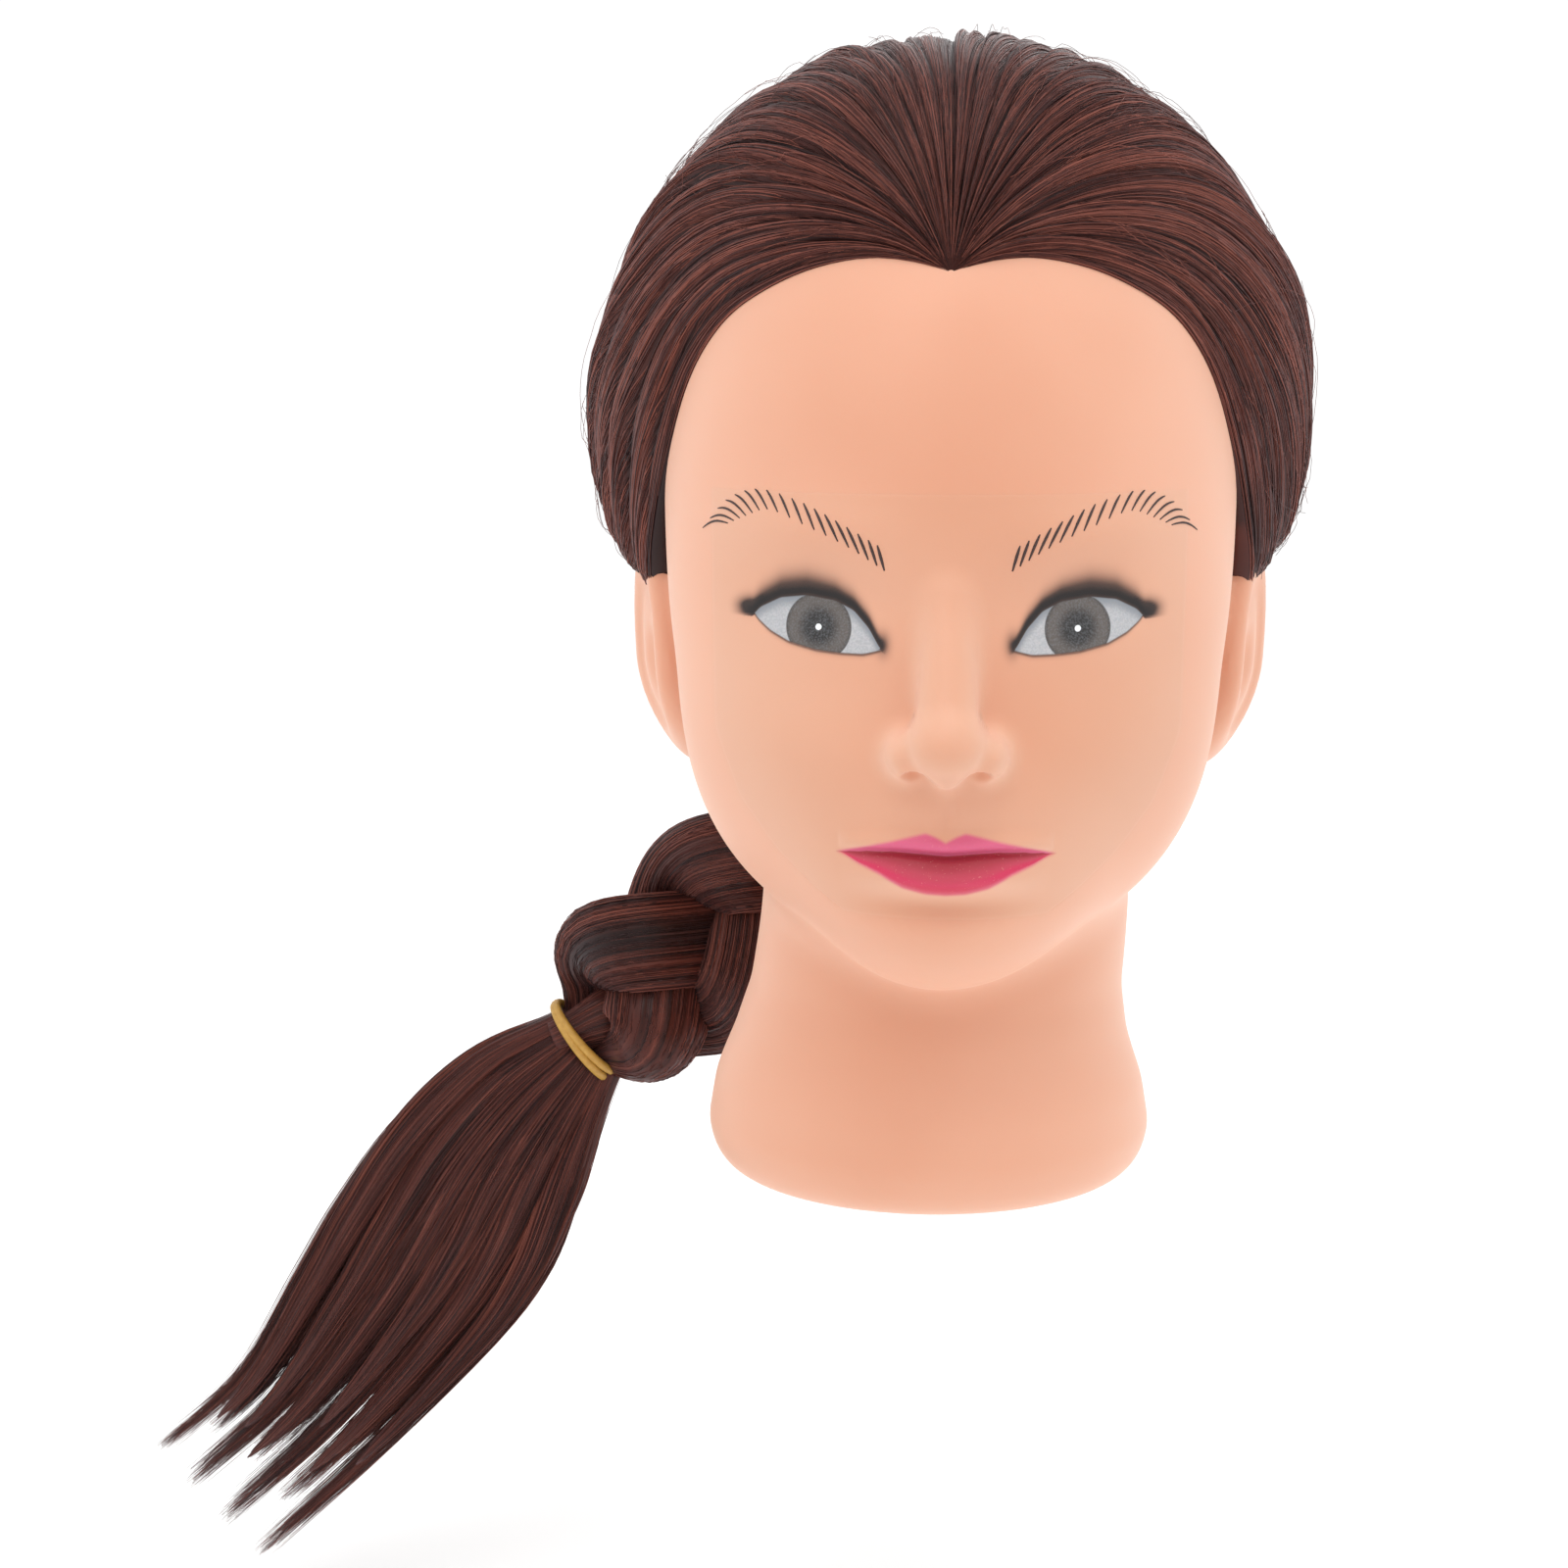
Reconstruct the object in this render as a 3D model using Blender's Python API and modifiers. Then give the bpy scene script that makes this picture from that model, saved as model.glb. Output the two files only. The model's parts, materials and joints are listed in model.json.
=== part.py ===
"""Mannequin training head with a braided ponytail, for hair salon and barber practice.

Frame: +Z up, the face looks along -Y, +X is the head's own left side. The origin is the centre of the
neck base, where the holder's post enters the clamp socket. Lengths are in metres.
"""

from math import cos, exp, pi, radians, sin, sqrt

import bmesh
import bpy
from mathutils import Matrix, Vector

MM = 0.001

# Head and neck. The tables are written for a head of the drawn height and width, and follow the
# height and width that are set.
DRAWN_HEIGHT = 261.0
DRAWN_WIDTH = 145.0
HEAD_HEIGHT = 261.0
HEAD_WIDTH = 145.0
TALLER = HEAD_HEIGHT / DRAWN_HEIGHT
WIDER = HEAD_WIDTH / DRAWN_WIDTH

# Each row is height, half width, depth to the front, depth to the back and how far the front narrows
# to a point.
SECTIONS = [
    (0, 46.5, 46.5, 46.5, 0.00),
    (4, 51.5, 51.5, 51.5, 0.00),
    (14, 53.5, 53.0, 53.0, 0.00),
    (30, 51.0, 49.0, 52.0, 0.00),
    (46, 46.0, 44.0, 50.0, 0.00),
    (58, 45.0, 43.5, 49.0, 0.00),
    (64, 46.5, 64.0, 49.5, 0.26),
    (76, 50.5, 80.0, 52.0, 0.24),
    (94, 57.0, 84.0, 56.0, 0.18),
    (116, 65.0, 84.5, 68.0, 0.10),
    (142, 70.0, 83.5, 87.0, 0.04),
    (168, 72.5, 83.0, 96.0, 0.02),
    (196, 71.5, 80.0, 97.5, 0.00),
    (220, 66.0, 70.0, 91.0, 0.00),
    (240, 54.0, 55.0, 74.0, 0.00),
    (255, 31.0, 31.0, 44.0, 0.00),
]
LEVELS = [
    (z * TALLER, wide * WIDER, front * WIDER, back * WIDER, narrow) for z, wide, front, back, narrow in SECTIONS
]
CROWN_HEIGHT = HEAD_HEIGHT
LEAN = 4.0
LEAN_FROM = 25.0
LEAN_OVER = 50.0
AROUND = [0, 8, 19, 34, 52, 72, 87, 99, 116, 138, 160, 180]
WALL = 3.0
DRAWN_FACE = {"nose": 117.0, "bridge": 134.0, "lips": 95.0, "chin": 74.0, "ear": 146.0}
FACE_HEIGHTS = {name: height * TALLER for name, height in DRAWN_FACE.items()}
NOSE_LENGTH = 34.0
BRIDGE_LENGTH = 10.0
LIP_FULLNESS = 5.0
CHIN_FULLNESS = 3.0
EAR_STAND_OUT = 9.0
EAR_AT = 97.0

# Foam filling, base plug, clamp socket and its screws
CORE_GAP = 1.2
RIM_ROUNDING = 0.976
RIM_RISE = LEVELS[1][0] - LEVELS[0][0]
RIM_FLARE = LEVELS[1][1] - LEVELS[0][1]
RIM_WALL = WALL * RIM_RISE / sqrt(RIM_RISE * RIM_RISE + RIM_FLARE * RIM_FLARE)
PLUG_CLEARANCE = 0.31 * WIDER * WIDER
PLUG_RADIUS = LEVELS[0][1] * RIM_ROUNDING - RIM_WALL - PLUG_CLEARANCE
PLUG_THICKNESS = 12.0
PLUG_TO_CORE = 1.0
SOCKET_TO_CORE = 1.0
SOCKET_END_TO_CORE = 3.0
SOCKET_LENGTH = 62.0
SOCKET_MOUTH_RADIUS = 11.5
SOCKET_END_RADIUS = 10.0
SOCKET_WALL = 2.5
FLANGE_RADIUS = 21.5
FLANGE_THICKNESS = 2.5
FLANGE_DEPTH = 2.4
SCREWS = 3
SCREW_SHANK_RADIUS = 1.4
SCREW_HEAD_RADIUS = 2.7
SCREW_HEAD_HEIGHT = 1.7
SCREW_LENGTH = 9.0
FIT = 0.35

# Scalp hair: the hairline's height for each angle from the face, how thick the hair lies at its edge
# as a share of its full thickness, and how far above the hairline it reaches full thickness
DRAWN_HAIRLINE = [(0, 226), (14, 229), (30, 222), (42, 206), (54, 182), (64, 160), (74, 154), (104, 150)]
HAIRLINE = [(turn, height * TALLER) for turn, height in DRAWN_HAIRLINE]
DRAWN_NAPE_LINE = [(122, 133), (146, 122), (180, 118)]
NAPE_LINE = [(turn, height * TALLER) for turn, height in DRAWN_NAPE_LINE]
HAIR_EDGE_SHARES = [(0, 0.20), (104, 0.25), (140, 0.55), (180, 0.70)]
HAIR_RISE = 20.0
HAIR_CAP_HEIGHT = 233.0 * TALLER
HAIR_LIFT = 1.0
HAIR_FULLNESS = 18.0
HAIR_SIDE_FROM = 56.0
HAIR_BACK_FROM = 124.0
HAIR_PARTING = 0.3
HAIR_STEP = 10.0
HAIR_ROWS = 6
CROWN_ROWS = 3

# Plait: it starts at the nape, behind the neck, and lies swung out to the side
NAPE_HEIGHT = 94.0 * TALLER
NAPE_STAND_OFF = 22.0
GATHER_CLEARANCE = 3.0
GATHER_SHARE = 1.06411
GATHER_DEPTH = 15.5
PLAIT_SWUNG = 51.0
PLAIT_TO_GATHER = 2.5
PLAIT_LENGTH = 131.8
PLAIT_PHASE = 1 / 12
STRAND_RADIUS = 7.3
STRAND_CLEARANCE = 0.4
STRAND_NESTING = 1.1
PLAIT_TURN = 15.35
PLAIT_PITCH = PLAIT_TURN * STRAND_RADIUS
PLAIT_HALF_SPREAD = 2 * STRAND_RADIUS + STRAND_CLEARANCE
PLAIT_HALF_DEPTH = 2 * STRAND_RADIUS - STRAND_NESTING
PLAIT_NARROW = 0.42
PLAIT_TAPER = 30.0
STRAND_PAST_BAND = 4.0
STRAND_POINTS = 30

# Elastic band, and the loose tail beyond it
BAND_WIRE = 1.2
BAND_GAP = 0.8
TAIL_SWUNG = 40.0
TAIL_LOCKS = 7
TAIL_ROOT_GAP = 1.0
TAIL_ROOT_SPREAD = 7.2
TAIL_ROOT_RADIUS = 3.35
TAIL_LOCK_RADIUS = 6.8
TAIL_LOCK_TIP = 1.3
TAIL_SPREAD = 3.7
TAIL_DEPTH_SPREAD = 1.9
TAIL_LENGTHS = [178, 186, 170, 190, 174, 182, 160]
TAIL_POINTS = 12

SKIN = ((0.86, 0.55, 0.40), 0.55)
FOAM = ((0.85, 0.82, 0.70), 0.95)
PLUG = ((0.80, 0.60, 0.48), 0.50)
SOCKET = ((0.10, 0.10, 0.11), 0.40)
STEEL = ((0.62, 0.62, 0.64), 0.30)
HAIR = ((0.085, 0.034, 0.026), 0.38)
RUBBER = ((0.55, 0.33, 0.07), 0.55)


def clear_scene():
    for old in list(bpy.data.objects):
        bpy.data.objects.remove(old, do_unlink=True)


def make_collection(name, hidden=False):
    made = bpy.data.collections.new(name)
    bpy.context.scene.collection.children.link(made)
    made.hide_render = hidden
    return made


def finish(name, look, metallic=0.0):
    """A Principled material with this colour and roughness."""
    made = bpy.data.materials.new(name)
    made.use_nodes = True
    shader = made.node_tree.nodes["Principled BSDF"]
    shader.inputs["Base Color"].default_value = (*look[0], 1.0)
    shader.inputs["Roughness"].default_value = look[1]
    shader.inputs["Metallic"].default_value = metallic
    return made


def add(name, data, material, collection):
    data.materials.append(material)
    made = bpy.data.objects.new(name, data)
    collection.objects.link(made)
    return made


def shade(mesh, angle=40.0):
    mesh.shade_smooth()
    mesh.set_sharp_from_angle(angle=radians(angle))


def between(rows, at):
    """Reads a table of (position, value) rows at any position, with straight runs between its rows."""
    if at <= rows[0][0]:
        return rows[0][1]
    for (low, first), (high, second) in zip(rows, rows[1:]):
        if at <= high:
            return first + (second - first) * (at - low) / (high - low)
    return rows[-1][1]


def ease(share):
    share = min(1.0, max(0.0, share))
    return share * share * (3 - 2 * share)


def bump(distance, width):
    return exp(-((distance / width) ** 2))


# ---------------------------------------------------------------- head


def level_at(height):
    """The section of the head at a height: half width, front, back and narrowing."""
    columns = zip(*LEVELS)
    heights = next(columns)
    return [between(list(zip(heights, column)), height) for column in columns]


def features(turn, height):
    """How far the nose, lips, chin and ears stand out from the plain head, at an angle from the face."""
    away = abs((turn + 180) % 360 - 180)
    grown = NOSE_LENGTH * bump(away, 9) * bump(height - FACE_HEIGHTS["nose"], 10)
    grown += BRIDGE_LENGTH * bump(away, 8) * bump(height - FACE_HEIGHTS["bridge"], 14)
    grown += LIP_FULLNESS * bump(away, 15) * bump(height - FACE_HEIGHTS["lips"], 8)
    grown += CHIN_FULLNESS * bump(away, 14) * bump(height - FACE_HEIGHTS["chin"], 9)
    grown += EAR_STAND_OUT * bump(away - EAR_AT, 9) * bump(height - FACE_HEIGHTS["ear"], 17)
    return grown


def lean(height):
    """How far the head sits to its left of the neck's base, at a height."""
    return LEAN * ease((height - LEAN_FROM) / LEAN_OVER)


def head_point(turn, height):
    """A point on the outside of the head, at an angle round from the face and a height."""
    wide, front, back, narrow = level_at(height)
    angle = radians(turn)
    ahead = cos(angle)
    x = wide * sin(angle) * (1 - narrow * max(0.0, ahead))
    y = -(front if ahead > 0 else back) * ahead
    grown = 1 + features(turn, height) / sqrt(x * x + y * y)
    return Vector((x * grown + lean(height), y * grown, height)) * MM


def head_turns():
    return AROUND + [360 - turn for turn in reversed(AROUND[1:-1])]


def head_cage():
    """Rings of the head from the base to the crown, open at the base."""
    turns = head_turns()
    bm = bmesh.new()
    rings = [[bm.verts.new(head_point(turn, row[0])) for turn in turns] for row in LEVELS]
    quads(bm, rings, closed=True)
    close_crown(bm, rings[-1], 0)
    return bm, rings


def close_crown(bm, ring, lift):
    """Closes the last ring with a fan of faces round the crown's highest point."""
    front, back = level_at(CROWN_HEIGHT)[1:3]
    crown = bm.verts.new(Vector((LEAN, (back - front) / 2, CROWN_HEIGHT + lift)) * MM)
    for i in range(len(ring)):
        bm.faces.new((ring[i], ring[(i + 1) % len(ring)], crown))


def as_mesh(bm, name):
    bmesh.ops.recalc_face_normals(bm, faces=bm.faces)
    mesh = bpy.data.meshes.new(name)
    bm.to_mesh(mesh)
    bm.free()
    shade(mesh)
    return mesh


def subdivide(obj, levels=1):
    modifier = obj.modifiers.new("smooth", "SUBSURF")
    modifier.levels = levels
    modifier.render_levels = levels


def head_skin(parts):
    bm, _ = head_cage()
    made = add("head_skin", as_mesh(bm, "head_skin"), finish("soft_vinyl", SKIN), parts)
    subdivide(made)
    wall = made.modifiers.new("wall", "SOLIDIFY")
    wall.thickness = WALL * MM
    wall.offset = -1
    return made


def foam_core(parts, cutters):
    """The filling inside the skin, with a pocket for the clamp socket."""
    bm, rings = head_cage()
    bm.faces.new(list(reversed(rings[0])))
    made = add("foam_core", as_mesh(bm, "foam_core"), finish("foam", FOAM), parts)
    subdivide(made)
    inset = made.modifiers.new("inset", "DISPLACE")
    inset.direction = "NORMAL"
    inset.mid_level = 0
    inset.strength = -(WALL + CORE_GAP) * MM
    floor = PLUG_THICKNESS + PLUG_TO_CORE
    base = cutter_box("core_floor", 4 * PLUG_RADIUS, 4 * PLUG_RADIUS, 2 * floor, cutters)
    cut(made, base, "floor")
    pocket_radius = SOCKET_MOUTH_RADIUS + SOCKET_WALL + SOCKET_TO_CORE
    pocket = cutter_tube("socket_pocket", pocket_radius, 0, SOCKET_LENGTH + SOCKET_END_TO_CORE, cutters)
    cut(made, pocket, "pocket")
    return made


def cut(obj, cutter, name):
    modifier = obj.modifiers.new(name, "BOOLEAN")
    modifier.operation = "DIFFERENCE"
    modifier.solver = "EXACT"
    modifier.object = cutter


def as_cutter(name, bm, cutters):
    mesh = bpy.data.meshes.new(name)
    bm.to_mesh(mesh)
    bm.free()
    made = bpy.data.objects.new(name, mesh)
    cutters.objects.link(made)
    made.hide_render = True
    made.display_type = "WIRE"
    return made


def cutter_box(name, wide, deep, high, cutters):
    bm = bmesh.new()
    bmesh.ops.create_cube(bm, size=1, matrix=Matrix.Diagonal((wide * MM, deep * MM, high * MM, 1)))
    return as_cutter(name, bm, cutters)


def cutter_tube(name, radius, low, high, cutters, x=0.0, y=0.0, sides=32):
    bm = bmesh.new()
    place = Matrix.Translation(Vector((x, y, (low + high) / 2)) * MM)
    bmesh.ops.create_cone(
        bm, cap_ends=True, segments=sides, radius1=radius * MM, radius2=radius * MM, depth=(high - low) * MM,
        matrix=place,
    )
    return as_cutter(name, bm, cutters)


# ---------------------------------------------------------------- neck base


def turned(name, profile, material, parts, steps=40):
    """A solid turned about +Z from a closed profile of (radius, height) points."""
    bm = bmesh.new()
    verts = [bm.verts.new((radius * MM, 0, height * MM)) for radius, height in profile]
    for first, second in zip(verts, verts[1:]):
        bm.edges.new((first, second))
    if profile[0][0] > 0 and profile[-1][0] > 0:
        bm.edges.new((verts[-1], verts[0]))
    mesh = bpy.data.meshes.new(name)
    bm.to_mesh(mesh)
    bm.free()
    made = add(name, mesh, material, parts)
    spin = made.modifiers.new("turn", "SCREW")
    spin.axis = "Z"
    spin.steps = steps
    spin.render_steps = steps
    spin.use_merge_vertices = True
    spin.merge_threshold = 0.00001
    spin.use_smooth_shade = False
    return made


def tube_radius(height):
    """The outside radius of the socket's tube, which narrows to its closed end."""
    share = (height - FLANGE_DEPTH) / (SOCKET_LENGTH - FLANGE_DEPTH)
    return SOCKET_MOUTH_RADIUS + (SOCKET_END_RADIUS - SOCKET_MOUTH_RADIUS) * share + SOCKET_WALL


def clamp_socket(parts, cutters):
    flange_top = FLANGE_DEPTH + FLANGE_THICKNESS
    profile = [
        (0, SOCKET_LENGTH),
        (SOCKET_END_RADIUS + SOCKET_WALL, SOCKET_LENGTH),
        (tube_radius(flange_top), flange_top),
        (FLANGE_RADIUS, flange_top),
        (FLANGE_RADIUS, FLANGE_DEPTH),
        (SOCKET_MOUTH_RADIUS, FLANGE_DEPTH),
        (SOCKET_END_RADIUS, SOCKET_LENGTH - SOCKET_WALL),
        (0, SOCKET_LENGTH - SOCKET_WALL),
    ]
    made = turned("clamp_socket", profile, finish("socket_plastic", SOCKET), parts)
    for index, (x, y) in enumerate(screw_places(), 1):
        hole = cutter_tube(
            f"flange_hole_{index}", SCREW_SHANK_RADIUS + FIT, 0, flange_top + 1, cutters, x, y, 16
        )
        cut(made, hole, f"hole_{index}")
    return made


def screw_places():
    """The screws stand midway between the tube and the flange's rim."""
    ring = (tube_radius(FLANGE_DEPTH + FLANGE_THICKNESS) + FLANGE_RADIUS) / 2
    turns = [radians(90 + 360 * i / SCREWS) for i in range(SCREWS)]
    return [(ring * cos(turn), ring * sin(turn)) for turn in turns]


def base_plug(parts, cutters):
    seat = FLANGE_DEPTH + FLANGE_THICKNESS + FIT
    bore = tube_radius(FLANGE_DEPTH) + FIT
    edge = 1.0
    profile = [
        (bore, PLUG_THICKNESS),
        (PLUG_RADIUS - edge, PLUG_THICKNESS),
        (PLUG_RADIUS, PLUG_THICKNESS - edge),
        (PLUG_RADIUS, edge),
        (PLUG_RADIUS - edge, 0),
        (FLANGE_RADIUS + FIT, 0),
        (FLANGE_RADIUS + FIT, seat),
        (bore, seat),
    ]
    made = turned("base_plug", profile, finish("base_plastic", PLUG), parts, 48)
    for index, (x, y) in enumerate(screw_places(), 1):
        hole = cutter_tube(
            f"pilot_hole_{index}", SCREW_SHANK_RADIUS + FIT, 1, PLUG_THICKNESS + 1, cutters, x, y, 16
        )
        cut(made, hole, f"pilot_{index}")
    return made


def flange_screws(parts):
    steel = finish("screw_steel", STEEL, 1.0)
    head_top = -FIT
    profile = [
        (0, head_top + SCREW_LENGTH),
        (SCREW_SHANK_RADIUS * 0.5, head_top + SCREW_LENGTH),
        (SCREW_SHANK_RADIUS, head_top + SCREW_LENGTH - 1.5),
        (SCREW_SHANK_RADIUS, head_top),
        (SCREW_HEAD_RADIUS, head_top),
        (SCREW_HEAD_RADIUS * 0.8, head_top - SCREW_HEAD_HEIGHT),
        (SCREW_HEAD_RADIUS * 0.4, head_top - SCREW_HEAD_HEIGHT),
        (0, head_top - SCREW_HEAD_HEIGHT / 2),
    ]
    for index, (x, y) in enumerate(screw_places(), 1):
        made = turned(f"flange_screw_{index}", profile, steel, parts, 16)
        made.location = Vector((x, y, FLANGE_DEPTH)) * MM


# ---------------------------------------------------------------- scalp hair


def hairline(turn):
    away = abs((turn + 180) % 360 - 180)
    return between(HAIRLINE + NAPE_LINE, away)


def thickness_at(turn, height):
    """How thick the hair lies at an angle from the face and a height."""
    away = abs((turn + 180) % 360 - 180)
    edge = between(HAIR_EDGE_SHARES, away)
    return HAIR_FULLNESS * (edge + (1 - edge) * ease((height - hairline(turn)) / HAIR_RISE))


def lifted(turn, height, lift):
    """A point on the head raised off it, square to its surface."""
    step = 0.5
    side = head_point(turn + step, height) - head_point(turn - step, height)
    rise = head_point(turn, height + step) - head_point(turn, height - step)
    return head_point(turn, height) + side.cross(rise).normalized() * lift * MM


def quads(bm, grid, closed):
    """Fills a grid of rows of points, each row closed or open."""
    for low, high in zip(grid, grid[1:]):
        for i in range(len(low) if closed else len(low) - 1):
            j = (i + 1) % len(low)
            bm.faces.new((low[i], low[j], high[j], high[i]))


def hair_layers(bm, turns, rows_of):
    """The hair's underside and its outside, as two grids of points. rows_of gives a column's heights."""
    columns = [rows_of(turn) for turn in turns]
    grids = []
    for outside in (0, 1):
        grid = []
        for row in range(len(columns[0])):
            line = []
            for turn, heights in zip(turns, columns):
                thick = thickness_at(turn, heights[row]) * outside
                line.append(bm.verts.new(lifted(turn, heights[row], HAIR_LIFT + thick)))
            grid.append(line)
        grids.append(grid)
    return grids


def wall_between(bm, first, second, closed):
    """Joins two edges of as many points with a strip of faces."""
    for i in range(len(first) if closed else len(first) - 1):
        j = (i + 1) % len(first)
        bm.faces.new((first[i], first[j], second[j], second[i]))


def hair_section(name, first, last, parts, material):
    """The hair between two angles, from the hairline up to the crown."""
    count = round((last - first) / HAIR_STEP)
    low, high = first + HAIR_PARTING, last - HAIR_PARTING
    turns = [low + (high - low) * i / count for i in range(count + 1)]

    def rows_of(turn):
        edge = hairline(turn)
        top = HAIR_CAP_HEIGHT - HAIR_PARTING
        return [edge + (top - edge) * row / HAIR_ROWS for row in range(HAIR_ROWS + 1)]

    bm = bmesh.new()
    layers = hair_layers(bm, turns, rows_of)
    rims = []
    for grid in layers:
        quads(bm, grid, closed=False)
        last_column = [row[-1] for row in grid]
        first_column = [row[0] for row in grid]
        rims.append(grid[0][:-1] + last_column[:-1] + grid[-1][:0:-1] + first_column[:0:-1])
    wall_between(bm, rims[0], rims[1], closed=True)
    return add(name, as_mesh(bm, name), material, parts)


def hair_crown(parts, material):
    """The round cap of hair over the crown."""
    turns = [i * HAIR_STEP for i in range(round(360 / HAIR_STEP))]
    top = LEVELS[-1][0]
    low = HAIR_CAP_HEIGHT + HAIR_PARTING
    heights = [low + (top - low) * row / CROWN_ROWS for row in range(CROWN_ROWS + 1)]
    bm = bmesh.new()
    layers = hair_layers(bm, turns, lambda turn: heights)
    for grid, lift in zip(layers, (HAIR_LIFT, HAIR_LIFT + HAIR_FULLNESS)):
        quads(bm, grid, closed=True)
        close_crown(bm, grid[-1], lift)
    wall_between(bm, layers[0][0], layers[1][0], closed=True)
    return add("hair_crown", as_mesh(bm, "hair_crown"), material, parts)


def scalp_hair(parts):
    fibre = finish("hair_fibre", HAIR)
    hair_section("hair_front", -HAIR_SIDE_FROM, HAIR_SIDE_FROM, parts, fibre)
    hair_section("hair_left", HAIR_SIDE_FROM, HAIR_BACK_FROM, parts, fibre)
    hair_section("hair_back", HAIR_BACK_FROM, 360 - HAIR_BACK_FROM, parts, fibre)
    hair_section("hair_right", 360 - HAIR_BACK_FROM, 360 - HAIR_SIDE_FROM, parts, fibre)
    hair_crown(parts, fibre)


# ---------------------------------------------------------------- plait and tail


def down_and_out(swung):
    """The direction of a lock that hangs this many degrees out to the head's right."""
    return Vector((-sin(radians(swung)), 0, -cos(radians(swung))))


def across(swung):
    """Across such a lock, in the plane it swings in."""
    return Vector((cos(radians(swung)), 0, -sin(radians(swung))))


def behind_nape(stand_off):
    """A point behind the head at the nape, this far off its back."""
    return Vector((lean(NAPE_HEIGHT), level_at(NAPE_HEIGHT)[2] + stand_off, NAPE_HEIGHT))


def nape_point():
    return behind_nape(NAPE_STAND_OFF)


def band_point():
    return nape_point() + down_and_out(PLAIT_SWUNG) * PLAIT_LENGTH


def gather_radius():
    """How far the gathered hair reaches up and down, which keeps it under the lower edge of the hair behind."""
    line = hairline(180)
    edge = lifted(180, line, HAIR_LIFT + thickness_at(180, line)).z / MM
    return GATHER_SHARE * (edge - NAPE_HEIGHT)


def plait_start():
    return gather_radius() + PLAIT_TO_GATHER


def nape_gather(parts):
    bm = bmesh.new()
    bmesh.ops.create_uvsphere(bm, u_segments=24, v_segments=14, radius=1)
    radius = gather_radius()
    size = Matrix.Diagonal((radius * MM, GATHER_DEPTH * MM, radius * MM, 1))
    bmesh.ops.transform(bm, matrix=size, verts=bm.verts)
    made = add("nape_gather", as_mesh(bm, "nape_gather"), finish("gathered_hair", HAIR), parts)
    made.location = behind_nape(GATHER_DEPTH + GATHER_CLEARANCE) * MM
    return made


def plait_size(along):
    """The plait's size as a share of its widest, which narrows to the nape and to the band."""
    from_ends = min(along - plait_start(), PLAIT_LENGTH - along)
    return PLAIT_NARROW + (1 - PLAIT_NARROW) * ease(from_ends / PLAIT_TAPER)


def tube_along(name, points, radii, material, parts, origin):
    """A closed tube through these points, in millimetres, with its own radius at each."""
    curve = bpy.data.curves.new(name, "CURVE")
    curve.dimensions = "3D"
    curve.bevel_depth = MM
    curve.bevel_resolution = 2
    curve.use_fill_caps = True
    spline = curve.splines.new("POLY")
    spline.points.add(len(points) - 1)
    for knot, point, radius in zip(spline.points, points, radii):
        knot.co = (*((point - origin) * MM), 1)
        knot.radius = radius
    made = add(name, curve, material, parts)
    made.location = origin * MM
    return made


def plait_strands(parts):
    """Three strands that pass over and under each other."""
    fibre = finish("plaited_hair", HAIR)
    origin, along, side = nape_point(), down_and_out(PLAIT_SWUNG), across(PLAIT_SWUNG)
    last = PLAIT_LENGTH + STRAND_PAST_BAND
    for index in range(3):
        points = []
        radii = []
        for step in range(STRAND_POINTS + 1):
            far = plait_start() + (last - plait_start()) * step / STRAND_POINTS
            size = plait_size(far)
            phase = 2 * pi * (far / PLAIT_PITCH + index / 3 + PLAIT_PHASE)
            place = origin + along * far
            place = place + side * (PLAIT_HALF_SPREAD * size * sin(phase))
            place.y -= PLAIT_HALF_DEPTH * size * sin(2 * phase)
            points.append(place)
            radii.append(STRAND_RADIUS * size)
        tube_along(f"plait_strand_{index + 1}", points, radii, fibre, parts, origin)


def band_radius():
    """The band lies round the three strands where the plait is narrowest."""
    return (PLAIT_HALF_SPREAD + STRAND_RADIUS) * PLAIT_NARROW + BAND_GAP + BAND_WIRE


def elastic_band(parts):
    bpy.ops.mesh.primitive_torus_add(
        major_segments=32, minor_segments=8, major_radius=band_radius() * MM, minor_radius=BAND_WIRE * MM
    )
    made = bpy.context.object
    made.name = "elastic_band"
    made.data.name = "elastic_band"
    made.data.materials.append(finish("band_rubber", RUBBER))
    shade(made.data)
    made.location = band_point() * MM
    made.rotation_euler = (0, radians(PLAIT_SWUNG), 0)
    for held in list(made.users_collection):
        held.objects.unlink(made)
    parts.objects.link(made)
    return made


def root_places():
    """Where the locks leave the band, across and in depth: one in the middle and the rest round it."""
    ring = [2 * pi * i / (TAIL_LOCKS - 1) for i in range(TAIL_LOCKS - 1)]
    return [(0.0, 0.0)] + [(TAIL_ROOT_SPREAD * cos(turn), TAIL_ROOT_SPREAD * sin(turn)) for turn in ring]


def tail_locks(parts):
    """Loose locks that fan out from a ball round the band, so that the tail can bend there."""
    fibre = finish("tail_hair", HAIR)
    origin, along, side = band_point(), down_and_out(TAIL_SWUNG), across(TAIL_SWUNG)
    ball = band_radius() + BAND_WIRE + TAIL_ROOT_GAP
    for index, (out, deep) in enumerate(root_places()):
        start = sqrt(ball * ball - out * out - deep * deep)
        points = []
        radii = []
        for step in range(TAIL_POINTS + 1):
            share = step / TAIL_POINTS
            far = start + (TAIL_LENGTHS[index] - start) * share
            fan = ease(share * 1.6)
            place = origin + along * far + side * (out * (1 + (TAIL_SPREAD - 1) * fan))
            place.y += deep * (1 + (TAIL_DEPTH_SPREAD - 1) * fan)
            points.append(place)
            full = TAIL_ROOT_RADIUS + (TAIL_LOCK_RADIUS - TAIL_ROOT_RADIUS) * fan
            radii.append(full + (TAIL_LOCK_TIP - full) * ease((share - 0.5) * 2))
        tube_along(f"tail_lock_{index + 1}", points, radii, fibre, parts, origin)


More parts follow.
